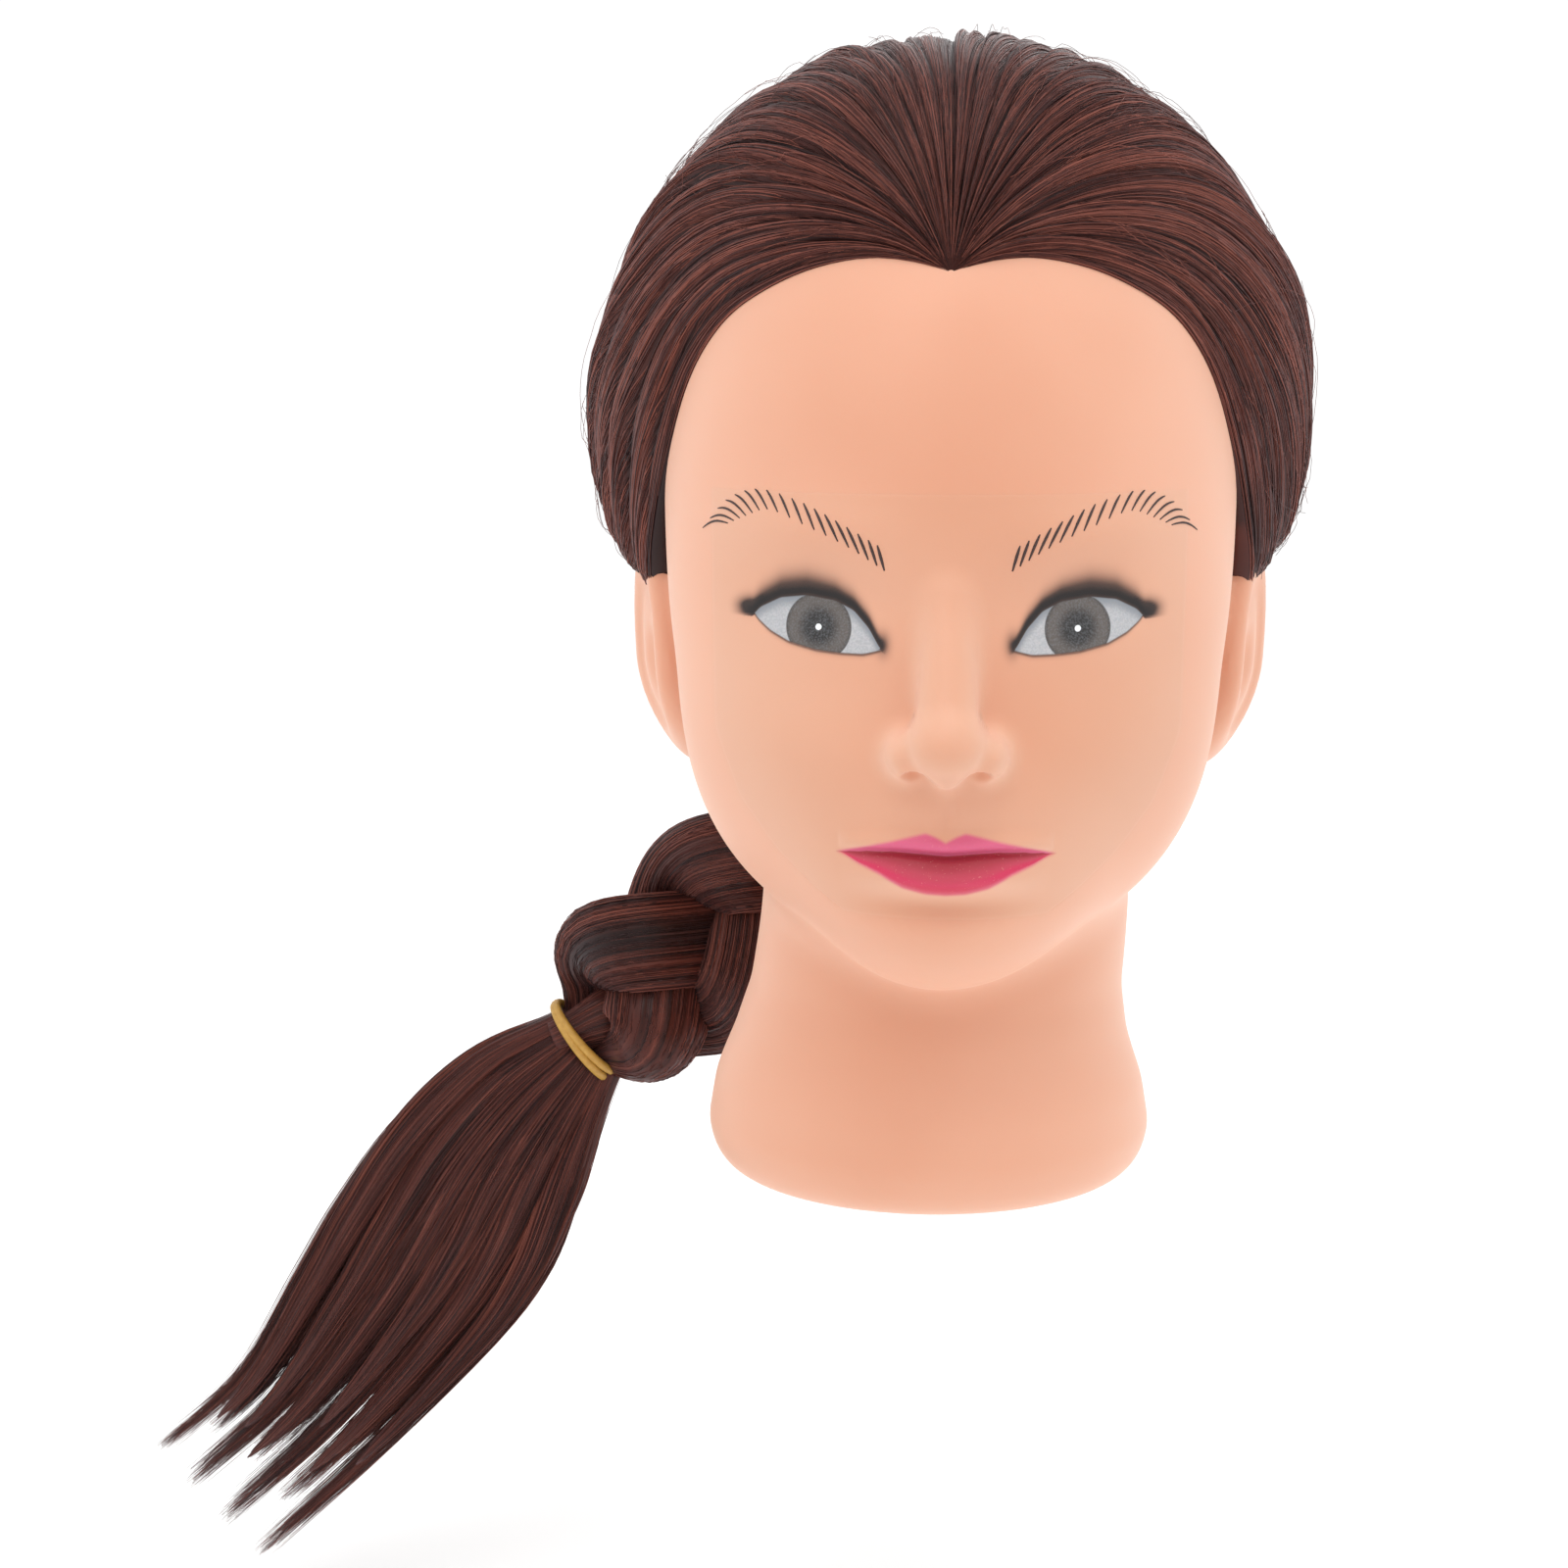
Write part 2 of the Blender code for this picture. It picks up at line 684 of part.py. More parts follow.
def main():
    clear_scene()
    parts = make_collection("mannequin_training_head")
    cutters = make_collection("cutters", hidden=True)
    head_skin(parts)
    foam_core(parts, cutters)
    base_plug(parts, cutters)
    clamp_socket(parts, cutters)
    flange_screws(parts)
    scalp_hair(parts)
    nape_gather(parts)
    plait_strands(parts)
    elastic_band(parts)
    tail_locks(parts)


main()
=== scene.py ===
"""A mannequin training head: vinyl face and neck, swept-back hair, plait, band and loose tail."""

import json
import logging
from dataclasses import dataclass, field
from enum import Enum
from math import atan2, cos, pi, radians, sin

import bpy
import numpy as np
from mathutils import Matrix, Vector


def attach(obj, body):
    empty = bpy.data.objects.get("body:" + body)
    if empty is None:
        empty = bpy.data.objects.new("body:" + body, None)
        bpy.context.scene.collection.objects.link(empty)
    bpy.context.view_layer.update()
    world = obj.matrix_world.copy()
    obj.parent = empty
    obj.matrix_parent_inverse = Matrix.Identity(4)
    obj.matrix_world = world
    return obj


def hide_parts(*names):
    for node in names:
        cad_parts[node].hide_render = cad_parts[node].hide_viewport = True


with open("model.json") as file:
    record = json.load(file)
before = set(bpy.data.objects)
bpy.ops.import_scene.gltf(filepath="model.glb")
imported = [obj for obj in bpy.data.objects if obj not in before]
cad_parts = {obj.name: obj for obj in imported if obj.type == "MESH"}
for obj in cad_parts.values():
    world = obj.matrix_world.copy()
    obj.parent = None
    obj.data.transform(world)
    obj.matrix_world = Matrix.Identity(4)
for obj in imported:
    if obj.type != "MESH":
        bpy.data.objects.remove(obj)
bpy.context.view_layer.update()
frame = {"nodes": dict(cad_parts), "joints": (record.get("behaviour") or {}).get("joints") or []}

MM = 0.001
LOG = logging.getLogger("training_head")
Array = np.ndarray


class Body(Enum):
    """The rigid bodies that pieces ride on."""

    HEAD = "head"
    GATHER = "gather"
    PLAIT = "plait"
    TAIL = "tail"


class Slot(Enum):
    """The material slots of the record."""

    VINYL = "soft_vinyl"
    HAIR = "hair_fibre"
    RUBBER = "band_rubber"
    FOAM = "foam"


# ---------------------------------------------------------------- numbers and curves


def ease(share: Array) -> Array:
    """A share from 0 to 1 with a smooth start and end."""
    held = np.clip(share, 0.0, 1.0)
    return held * held * (3.0 - 2.0 * held)


def smooth_min(a: Array, b: Array, blend: float) -> Array:
    """The smaller of two distances, with a rounded join this many millimetres wide."""
    share = np.clip(0.5 + 0.5 * (b - a) / blend, 0.0, 1.0)
    return b + (a - b) * share - blend * share * (1.0 - share)


def smooth_max(a: Array, b: Array, blend: float) -> Array:
    """The larger of two distances, with a rounded join."""
    return -smooth_min(-a, -b, blend)


def unit(vectors: Array) -> Array:
    """Vectors scaled to length 1."""
    return vectors / np.maximum(np.linalg.norm(vectors, axis=-1, keepdims=True), 1e-9)


def through(knots: list, shares: Array) -> Array:
    """Points on a smooth curve through knots.

    Args:
        knots: Two or more points, or plain numbers, evenly spaced along the curve.
        shares: Where to read it, from 0 at the first knot to 1 at the last.

    Returns:
        One point for each share.
    """
    held = np.asarray(knots, float)
    if held.ndim == 1:
        held = held[:, None]
    padded = np.vstack([2 * held[0] - held[1], held, 2 * held[-1] - held[-2]])
    at = np.clip(np.asarray(shares, float), 0, 1) * (len(held) - 1)
    cell = np.minimum(at.astype(int), len(held) - 2)
    t = (at - cell)[..., None]
    a, b, c, d = (padded[cell + step] for step in range(4))
    return 0.5 * (2 * b + (c - a) * t + (2 * a - 5 * b + 4 * c - d) * t**2 + (3 * b - a - 3 * c + d) * t**3)


def profile(table: list, at: Array) -> Array:
    """A rounded reading of a two-column table, by position."""
    places = np.array([row[0] for row in table], float)
    values = np.array([row[1] for row in table], float)
    fine = np.linspace(places[0], places[-1], 400)
    read = np.interp(fine, places, values)
    reach = 13
    padded = np.concatenate([2 * read[0] - read[reach:0:-1], read, 2 * read[-1] - read[-2 : -reach - 2 : -1]])
    weights = np.hanning(2 * reach + 3)[1:-1]
    soft = np.convolve(padded, weights / weights.sum(), "valid")
    return np.interp(at, fine, soft)


@dataclass
class Grain:
    """Smooth repeatable noise from a table."""

    seed: int
    table: Array = field(init=False)

    def __post_init__(self) -> None:
        """Fills the table."""
        self.table = np.random.default_rng(self.seed).random((128, 128))

    def at(self, x: Array, y: Array = 0.0) -> Array:
        """Noise from -1 to 1 at places on a plane, with one feature for each unit."""
        x, y = np.broadcast_arrays(np.asarray(x, float), np.asarray(y, float))
        i, j = np.floor(x).astype(int), np.floor(y).astype(int)
        u, v = ease(x - i), ease(y - j)
        i0, i1, j0, j1 = i % 128, (i + 1) % 128, j % 128, (j + 1) % 128
        low = self.table[i0, j0] * (1 - u) + self.table[i1, j0] * u
        high = self.table[i0, j1] * (1 - u) + self.table[i1, j1] * u
        return 2 * (low * (1 - v) + high * v) - 1


# ---------------------------------------------------------------- meshes


def make_piece(name: str, points: Array, quads: Array, triangles: Array | None = None) -> bpy.types.Object:
    """A smooth mesh object.

    Args:
        name: The piece's name.
        points: Its vertices, in millimetres.
        quads: Four vertex numbers a face.
        triangles: Three vertex numbers a face, for caps.

    Returns:
        The object, linked to the scene.
    """
    mesh = bpy.data.meshes.new(name)
    groups = [part for part in (quads, triangles) if part is not None and len(part)]
    loops = np.concatenate([part.ravel() for part in groups]).astype(np.int32)
    sizes = np.concatenate([np.full(len(part), part.shape[1]) for part in groups])
    mesh.vertices.add(len(points))
    mesh.vertices.foreach_set("co", (np.asarray(points, np.float32) * MM).ravel())
    mesh.loops.add(len(loops))
    mesh.loops.foreach_set("vertex_index", loops)
    mesh.polygons.add(len(sizes))
    mesh.polygons.foreach_set("loop_start", (np.cumsum(sizes) - sizes).astype(np.int32))
    mesh.update(calc_edges=True)
    mesh.validate()
    mesh.shade_smooth()
    made = bpy.data.objects.new(name, mesh)
    bpy.context.scene.collection.objects.link(made)
    return made


def paint(piece: bpy.types.Object, name: str, values: Array) -> None:
    """Stores one number a vertex, which the piece's material reads by name."""
    layer = piece.data.attributes.new(name, "FLOAT", "POINT")
    layer.data.foreach_set("value", np.asarray(values, np.float32).ravel())


def settle(piece: bpy.types.Object, finish: bpy.types.Material, body: Body) -> bpy.types.Object:
    """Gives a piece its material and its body."""
    piece.data.materials.append(finish)
    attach(piece, body.value)
    LOG.info("%s: %d faces on %s", piece.name, len(piece.data.polygons), body.value)
    return piece


def grid_quads(rows: int, columns: int, start: int = 0, closed: bool = False) -> Array:
    """The faces of a grid of vertices, row by row."""
    cells = columns if closed else columns - 1
    row, column = np.meshgrid(np.arange(rows - 1), np.arange(cells), indexing="ij")
    after = (column + 1) % columns
    a, b = row * columns + column, row * columns + after
    return np.stack([a, b, b + columns, a + columns], -1).reshape(-1, 4) + start


def shell(outer: Array, inner: Array) -> tuple[Array, Array]:
    """A closed thin solid between two grids of points with the same rows and columns."""
    rows, columns = outer.shape[:2]
    count = rows * columns
    front = grid_quads(rows, columns)
    back = grid_quads(rows, columns, count)[:, ::-1]
    ids = np.arange(count).reshape(rows, columns)
    rim = np.concatenate([ids[0, :-1], ids[:-1, -1], ids[-1, :0:-1], ids[:0:-1, 0]])
    after = np.roll(rim, -1)
    wall = np.stack([after, rim, rim + count, after + count], -1)
    return np.concatenate([outer.reshape(-1, 3), inner.reshape(-1, 3)]), np.concatenate([front, back, wall])


def bundle(centres: Array, radii: Array, outward: Array, sides: int = 3) -> tuple[Array, Array, Array]:
    """Many closed tubes at once.

    Args:
        centres: Tube by tube, the points along it.
        radii: The radius at each of those points.
        outward: A direction at each point that is not along the tube.
        sides: How many sides each tube has.

    Returns:
        Vertices, side faces and the triangles of the ends.
    """
    count, steps = centres.shape[:2]
    along = unit(np.gradient(centres, axis=1))
    normal = unit(outward - (outward * along).sum(-1, keepdims=True) * along)
    beside = np.cross(along, normal)
    turn = 2 * pi * np.arange(sides) / sides
    ring = normal[:, :, None] * np.cos(turn)[:, None] + beside[:, :, None] * np.sin(turn)[:, None]
    points = centres[:, :, None] + ring * radii[:, :, None, None]
    first = (np.arange(count) * steps * sides)[:, None, None]
    quads = (grid_quads(steps, sides, closed=True)[None] + first).reshape(-1, 4)
    fan = np.array([[0, k, k + 1] for k in range(1, sides - 1)])
    starts = (fan[:, ::-1][None] + first).reshape(-1, 3)
    ends = (fan[None] + first + (steps - 1) * sides).reshape(-1, 3)
    return points.reshape(-1, 3), quads, np.concatenate([starts, ends])


# ---------------------------------------------------------------- the head's form


@dataclass(frozen=True)
class HeadSizes:
    """Sizes of the moulded head, in millimetres, with x measured from its own middle."""

    lean: float = 4.0
    lean_from: float = 25.0
    lean_over: float = 50.0
    neck_middle: float = 2.0
    neck_profile: tuple = (
        (0, 53.0), (12, 56.0), (24, 54.0), (36, 49.6), (48, 46.8), (62, 46.2), (80, 45.6), (125, 50),
    )
    plug_recess: tuple = (43.9, 13.0)
    socket_recess: tuple = (15.0, 64.0)
    ear_at: tuple = (70.5, 10.0, 130.0)
    ear_size: tuple = (12.5, 23.0)
    iris: tuple = (28.7, 144.7)
    upper_lid: tuple = (
        (14.0, 139.6), (15.0, 140.7), (17.4, 144.9), (20.8, 148.6), (25.0, 150.6), (31.4, 151.5),
        (37.4, 150.8), (42.2, 148.4), (44.0, 146.4),
    )
    lower_lid: tuple = (
        (14.0, 140.4), (15.4, 139.9), (18.6, 139.1), (23.6, 139.2), (29.1, 139.7), (35.5, 141.2),
        (39.9, 143.4), (42.7, 145.7), (44.0, 147.4),
    )
    lip_top: tuple = (
        (0, 98.2), (2.2, 99.3), (4.4, 100.1), (8.3, 99.2), (15.6, 97.2), (22.5, 95.0), (24.5, 94.3),
    )
    lip_bottom: tuple = (
        (0, 85.6), (4.5, 85.9), (9.5, 87.4), (14.5, 90.4), (19.6, 92.3), (22.5, 93.9), (24.5, 94.7),
    )
    mouth_line: tuple = ((0, 95.0), (4, 95.2), (8, 95.5), (12, 95.6), (18, 95.2), (24.5, 94.5))


class HeadForm:
    """The head as a distance field, from which its mesh and everything that lies on it are read."""

    def __init__(self, sizes: HeadSizes) -> None:
        """Keeps the sizes."""
        self.sizes = sizes

    def lean(self, z: Array) -> Array:
        """How far the head stands to its left of the neck's base, at a height."""
        return self.sizes.lean * ease((z - self.sizes.lean_from) / self.sizes.lean_over)

    @staticmethod
    def ellipsoid(x: Array, y: Array, z: Array, middle: tuple, radii: tuple) -> Array:
        """Distance to an ellipsoid."""
        dx, dy, dz = (x - middle[0]) / radii[0], (y - middle[1]) / radii[1], (z - middle[2]) / radii[2]
        near = np.sqrt(dx * dx + dy * dy + dz * dz) + 1e-9
        slope = np.sqrt((dx / radii[0]) ** 2 + (dy / radii[1]) ** 2 + (dz / radii[2]) ** 2) + 1e-9
        return near * (near - 1) / slope

    @staticmethod
    def capsule(x: Array, y: Array, z: Array, start: tuple, end: tuple, radii: tuple) -> Array:
        """Distance to a rounded bar that narrows."""
        ax, ay, az = (e - s for s, e in zip(start, end))
        px, py, pz = x - start[0], y - start[1], z - start[2]
        t = np.clip((px * ax + py * ay + pz * az) / (ax * ax + ay * ay + az * az), 0, 1)
        away = np.sqrt((px - t * ax) ** 2 + (py - t * ay) ** 2 + (pz - t * az) ** 2)
        return away - radii[0] - (radii[1] - radii[0]) * t

    def plain(self, x: Array, y: Array, z: Array) -> Array:
        """Skull, face, jaw and neck, without features."""
        x = np.abs(x)
        found = self.ellipsoid(x, y, z, (0, 11, 181), (71, 86, 80))
        found = smooth_min(found, self.ellipsoid(x, y, z, (0, -20, 142), (66, 61, 74)), 16)
        found = smooth_min(found, self.ellipsoid(x, y, z, (0, -24, 110), (58.5, 54, 49)), 14)
        found = smooth_min(found, self.ellipsoid(x, y, z, (0, -52, 81), (26, 27, 22.5)), 16)
        found = smooth_min(found, self.ellipsoid(x, y, z, (0, -46, 107), (35, 36, 30)), 16)
        radius = profile(self.sizes.neck_profile, np.clip(z, 0, 125))
        neck = np.sqrt(x * x + (y - self.sizes.neck_middle) ** 2) - radius + 0.8 * np.maximum(z - 95, 0)
        return smooth_min(found, smooth_max(neck, -z, 9), 9)

    def nose(self, x: Array, y: Array, z: Array) -> Array:
        """Bridge, tip and wings of the nose."""
        found = self.capsule(x, y, z, (0, -77, 150), (0, -90.5, 122.5), (5.5, 6.8))
        found = smooth_min(found, self.ellipsoid(x, y, z, (0, -92.5, 120.3), (8.2, 8.0, 6.8)), 4)
        found = smooth_min(found, self.ellipsoid(x, y, z, (8.6, -87.0, 117.8), (4.5, 7.2, 5.0)), 2.6)
        return smooth_min(found, self.ellipsoid(x, y, z, (0, -89.0, 114.2), (3.0, 6.0, 3.2)), 3)

    def ear(self, x: Array, y: Array, z: Array) -> Array:
        """One ear: a flared plate with a raised rim and a hollow."""
        px, py, pz = x - self.sizes.ear_at[0], y - self.sizes.ear_at[1], z - self.sizes.ear_at[2]
        deep, high = self.sizes.ear_size
        flare = px - 0.3 * (py + 8) + 0.0125 * np.minimum(pz + 2, 0) ** 2 - 0.05 * pz
        plate = (np.sqrt((flare / 3) ** 2 + (py / (deep + 1)) ** 2 + (pz / (high + 1)) ** 2) - 1) * 3
        around = (np.sqrt((py / deep) ** 2 + (pz / high) ** 2) - 1) * deep
        rim = np.sqrt(around**2 + (flare - 1.4) ** 2) - 2.3
        hollow = (np.sqrt(((py + 3) / 6.5) ** 2 + ((pz + 2) / 9.5) ** 2 + ((flare - 4.4) / 4) ** 2) - 1) * 4
        shape = smooth_max(smooth_min(plate, rim, 2.2), -hollow, 1.6)
        return smooth_min(shape, self.ellipsoid(x, y, z, (57.5, 5, 127), (12.5, 11, 23)), 4)

    def mouth(self, x: Array, z: Array) -> Array:
        """How far the lips stand out."""
        above = z - profile(self.sizes.mouth_line, np.clip(x, 0, 24))
        across = np.clip(1 - (x / 24.0) ** 2, 0, 1)
        upper = 2.3 * np.exp(-(((above - 2.2) / 2.3) ** 2))
        lower = 4.2 * np.exp(-(((above + 5.2) / 3.6) ** 2)) * across
        line = 1.9 * np.exp(-((above / 0.85) ** 2))
        return (upper + lower - line) * across**0.7

    def full(self, x: Array, y: Array, z: Array) -> Array:
        """The head with all its features."""
        x = np.abs(x)
        found = smooth_min(self.plain(x, y, z), self.nose(x, y, z), 5)
        found = smooth_max(found, -self.ellipsoid(x, y, z, (7.4, -90.3, 113.2), (2.7, 3.6, 2.5)), 1.4)
        front = ease((-y - 20) / 25)

        def swell(middle: tuple, spread: tuple) -> Array:
            """A soft bump on the front of the face."""
            return np.exp(-(((x - middle[0]) / spread[0]) ** 2) - ((z - middle[1]) / spread[1]) ** 2) * front

        found = found - 2.0 * swell((38, 118), (20, 16)) + 3.6 * swell((27, 150), (15, 9))
        found = found - 1.6 * swell((30, 144.5), (11, 6.5)) - 1.2 * swell((30, 166), (18, 6))
        found = found - self.mouth(x, z) * front
        found = found + 2.2 * swell((0, 83.2), (17, 3.6)) + 0.7 * swell((0, 104), (2, 4))
        return smooth_min(found, self.ear(x, y, z), 3.5)

    def front_at(self, x: Array, z: Array) -> Array:
        """How far forward the face reaches, as y, at places across and up it."""
        y = np.full(np.broadcast(x, z).shape, -112.0)
        for _ in range(60):
            y = y + 0.7 * self.full(x, y, z)
        return y

    def reach(self, middle: Array, direction: Array) -> Array:
        """How far the plain head reaches from a middle point along directions."""
        far = np.full(direction.shape[:-1], 130.0)
        for _ in range(50):
            place = middle + direction * far[..., None]
            far = far - 0.8 * self.plain(place[..., 0], place[..., 1], place[..., 2])
        return far


# ---------------------------------------------------------------- shader building


class Shader:
    """A material or a node group being built, with short ways to add and join its nodes."""

    def __init__(self, tree: bpy.types.NodeTree) -> None:
        """Keeps the tree."""
        self.tree = tree

    @classmethod
    def material(cls, name: str) -> tuple["Shader", bpy.types.Material]:
        """A new empty material."""
        made = bpy.data.materials.new(name)
        made.use_nodes = True
        made.node_tree.nodes.clear()
        return cls(made.node_tree), made

    def put(self, socket: bpy.types.NodeSocket, value: object) -> None:
        """Joins a socket to another one, or sets its value."""
        if isinstance(value, bpy.types.NodeSocket):
            self.tree.links.new(value, socket)
        else:
            socket.default_value = value

    def add(self, kind: str, inputs: dict | None = None, **settings: object) -> bpy.types.Node:
        """A node with these settings and inputs, which are given by name or number."""
        node = self.tree.nodes.new(kind)
        for name, value in settings.items():
            setattr(node, name, value)
        for name, value in (inputs or {}).items():
            self.put(node.inputs[name], value)
        return node

    def read(self, name: str) -> bpy.types.NodeSocket:
        """One number from a piece's vertices."""
        return self.add("ShaderNodeAttribute", attribute_name=name).outputs["Fac"]

    def noise(self, scale: float, detail: float = 2.0, vector: object = None) -> bpy.types.NodeSocket:
        """Noise by place, or by a vector."""
        place = vector or self.add("ShaderNodeTexCoord").outputs["Object"]
        node = self.add("ShaderNodeTexNoise", {"Vector": place, "Scale": scale, "Detail": detail})
        return node.outputs["Fac"]

    def math(self, operation: str, a: object, b: object = 0.0) -> bpy.types.NodeSocket:
        """Arithmetic on numbers."""
        return self.add("ShaderNodeMath", {0: a, 1: b}, operation=operation).outputs[0]

    def steps(
        self, value: object, low: float, high: float, first: float = 0.0, last: float = 1.0
    ) -> bpy.types.NodeSocket:
        """A number that goes smoothly from first to last as value goes from low to high."""
        node = self.add(
            "ShaderNodeMapRange",
            {"Value": value, "From Min": low, "From Max": high, "To Min": first, "To Max": last},
            interpolation_type="SMOOTHSTEP",
        )
        return node.outputs["Result"]

    def mix(self, share: object, a: object, b: object) -> bpy.types.NodeSocket:
        """A colour between two colours."""
        node = self.add("ShaderNodeMix", data_type="RGBA")
        for socket, value in ((node.inputs[0], share), (node.inputs[6], a), (node.inputs[7], b)):
            self.put(socket, (*value, 1) if isinstance(value, tuple) else value)
        return node.outputs[2]

    def finish(self, colour: object, roughness: object, **inputs: object) -> bpy.types.Node:
        """The Principled BSDF and the output of a material."""
        surface = self.add("ShaderNodeBsdfPrincipled")
        self.put(surface.inputs["Base Color"], (*colour, 1) if isinstance(colour, tuple) else colour)
        self.put(surface.inputs["Roughness"], roughness)
        for name, value in inputs.items():
            self.put(surface.inputs[name.replace("_", " ")], value)
        self.tree.links.new(surface.outputs[0], self.add("ShaderNodeOutputMaterial").inputs[0])
        return surface

    def bump(self, height: object, strength: float, distance: float) -> bpy.types.NodeSocket:
        """A normal bent by a height."""
        node = self.add("ShaderNodeBump", {"Height": height, "Strength": strength, "Distance": distance})
        return node.outputs[0]


@dataclass(frozen=True)
class VinylFinish:
    """Colours of the vinyl skin and its paint."""

    roughness: float = 0.47
    skin: tuple = (0.650, 0.300, 0.186)
    # Paler skin: random mottle and lip speckle, and the painted rim light where the skin turns away from the
    # camera.
    edge: tuple = (0.940, 0.585, 0.440)
    # Deeper orange: random flecks, blush, and painted shade in the nostrils, the ears and under the chin.
    warm_tint_and_shade: tuple = (0.660, 0.255, 0.135)
    smoke: tuple = (0.040, 0.024, 0.021)
    liner: tuple = (0.010, 0.009, 0.010)
    white: tuple = (0.480, 0.470, 0.485)
    white_shade: tuple = (0.240, 0.255, 0.280)
    iris: tuple = (0.110, 0.094, 0.086)
    iris_middle: tuple = (0.027, 0.025, 0.025)
    upper_lip: tuple = (0.660, 0.112, 0.215)
    lip_band: tuple = (0.600, 0.030, 0.092)
    lip_edge: tuple = (0.670, 0.125, 0.190)
    # Dark red at the top of the lower lip: the lip colour darkened as painted shadow under the upper lip.
    lip_inside_and_mouth_shadow: tuple = (0.360, 0.030, 0.046)

    def skin_group(self) -> bpy.types.NodeTree:
        """The vinyl's colour and fine grain, shared by the head and its painted face."""
        tree = bpy.data.node_groups.new("vinyl_colour", "ShaderNodeTree")
        tree.interface.new_socket("Colour", in_out="OUTPUT", socket_type="NodeSocketColor")
        tree.interface.new_socket("Grain", in_out="OUTPUT", socket_type="NodeSocketFloat")
        build = Shader(tree)
        soft = build.noise(14.0, 2.0)
        fleck = build.steps(build.noise(1500.0, 3.0), 0.62, 0.78)
        colour = build.mix(build.steps(soft, 0.3, 0.7, 0.0, 0.16), self.skin, self.edge)
        colour = build.mix(build.math("MULTIPLY", fleck, 0.10), colour, self.warm_tint_and_shade)
        # Deeper orange read from the vertices: blush, and painted shade in the nostrils, the ears and under
        # the chin.
        colour = build.mix(build.math("MULTIPLY", build.read("warm_tint_and_shade"), 0.85), colour, self.warm_tint_and_shade)
        out = build.add("NodeGroupOutput")
        build.put(out.inputs["Colour"], colour)
        build.put(out.inputs["Grain"], build.noise(2600.0, 2.0))
        return tree

    def vinyl(self, group: bpy.types.NodeTree, painted: bool) -> bpy.types.Material:
        """The skin's material, with or without the painted eyes and lips."""
        build, made = Shader.material("painted_vinyl" if painted else "plain_vinyl")
        base = build.add("ShaderNodeGroup", node_tree=group)
        painted_rim_weight = build.add("ShaderNodeLayerWeight", {"Blend": 0.36}).outputs["Facing"]
        # Painted rim light: the paler edge colour mixed in where the skin turns away from the camera.
        colour = build.mix(build.math("MULTIPLY", painted_rim_weight, 0.85), base.outputs["Colour"], self.edge)
        if painted:
            colour = self.paint_eyes(build, colour)
            colour = self.paint_lips(build, colour)
        build.finish(
            colour, self.roughness, Subsurface_Weight=0.10, Subsurface_Radius=(1.0, 0.35, 0.2),
            Subsurface_Scale=0.003, Specular_IOR_Level=0.34,
            Normal=build.bump(base.outputs["Grain"], 0.10, 0.0002),
        )
        return made

    def paint_eyes(self, build: Shader, colour: object) -> object:
        """Shadow, liner, white, iris and highlight over the skin."""
        inside, above, around = build.read("eye_inside"), build.read("eye_above"), build.read("iris_far")
        speckle = build.noise(2400.0, 3.0)
        colour = build.mix(build.read("smoke"), colour, self.smoke)
        rough = build.math("ADD", above, build.math("MULTIPLY", speckle, 0.5))
        liner = build.math("MULTIPLY", build.steps(rough, -0.25, 0.1), build.steps(rough, 1.5, 3.4, 0.9, 0.0))
        colour = build.mix(build.math("MULTIPLY", liner, build.read("liner")), colour, self.liner)
        shade = build.steps(above, -3.2, -0.2)
        white = build.mix(build.steps(speckle, 0.35, 0.65, 0.0, 0.35), self.white, self.white_shade)
        white = build.mix(shade, white, self.white_shade)
        ring = build.mix(build.steps(around, 2.4, 5.6), self.iris_middle, self.iris)
        ring = build.mix(build.steps(around, 6.4, 7.5, 0.0, 0.6), ring, self.iris_middle)
        ring = build.mix(build.steps(speckle, 0.4, 0.7, 0.0, 0.25), ring, self.white_shade)
        eye = build.mix(build.steps(around, 7.25, 7.55), ring, white)
        eye = build.mix(build.steps(around, 0.62, 0.80, 1.0, 0.0), eye, (0.9, 0.9, 0.92))
        colour = build.mix(build.steps(inside, -0.12, 0.12), colour, eye)
        outer, inner = build.steps(inside, -0.75, -0.1), build.steps(inside, -0.1, 0.35, 1.0, 0.0)
        rim = build.math("MULTIPLY", outer, inner)
        return build.mix(build.math("MULTIPLY", rim, 0.75), colour, self.smoke)

    def paint_lips(self, build: Shader, colour: object) -> object:
        """Upper and lower lip over the skin."""
        down, within = build.read("lip_down"), build.read("lip_inside_and_mouth_shadow")
        # Painted shadow: the lower lip is darkest just under the mouth line, then lighter further down.
        lower = build.mix(build.steps(down, 0.12, 0.55), self.lip_inside_and_mouth_shadow, (0.52, 0.050, 0.090))
        lower = build.mix(build.steps(down, 0.50, 0.72), lower, self.lip_band)
        lower = build.mix(build.steps(down, 0.82, 1.0), lower, self.lip_edge)
        lip = build.mix(build.steps(down, -0.02, 0.02), self.upper_lip, lower)
        lip = build.mix(build.steps(build.noise(2200.0, 3.0), 0.62, 0.8, 0.0, 0.3), lip, self.edge)
        return build.mix(build.steps(within, -0.7, 0.45), colour, lip)


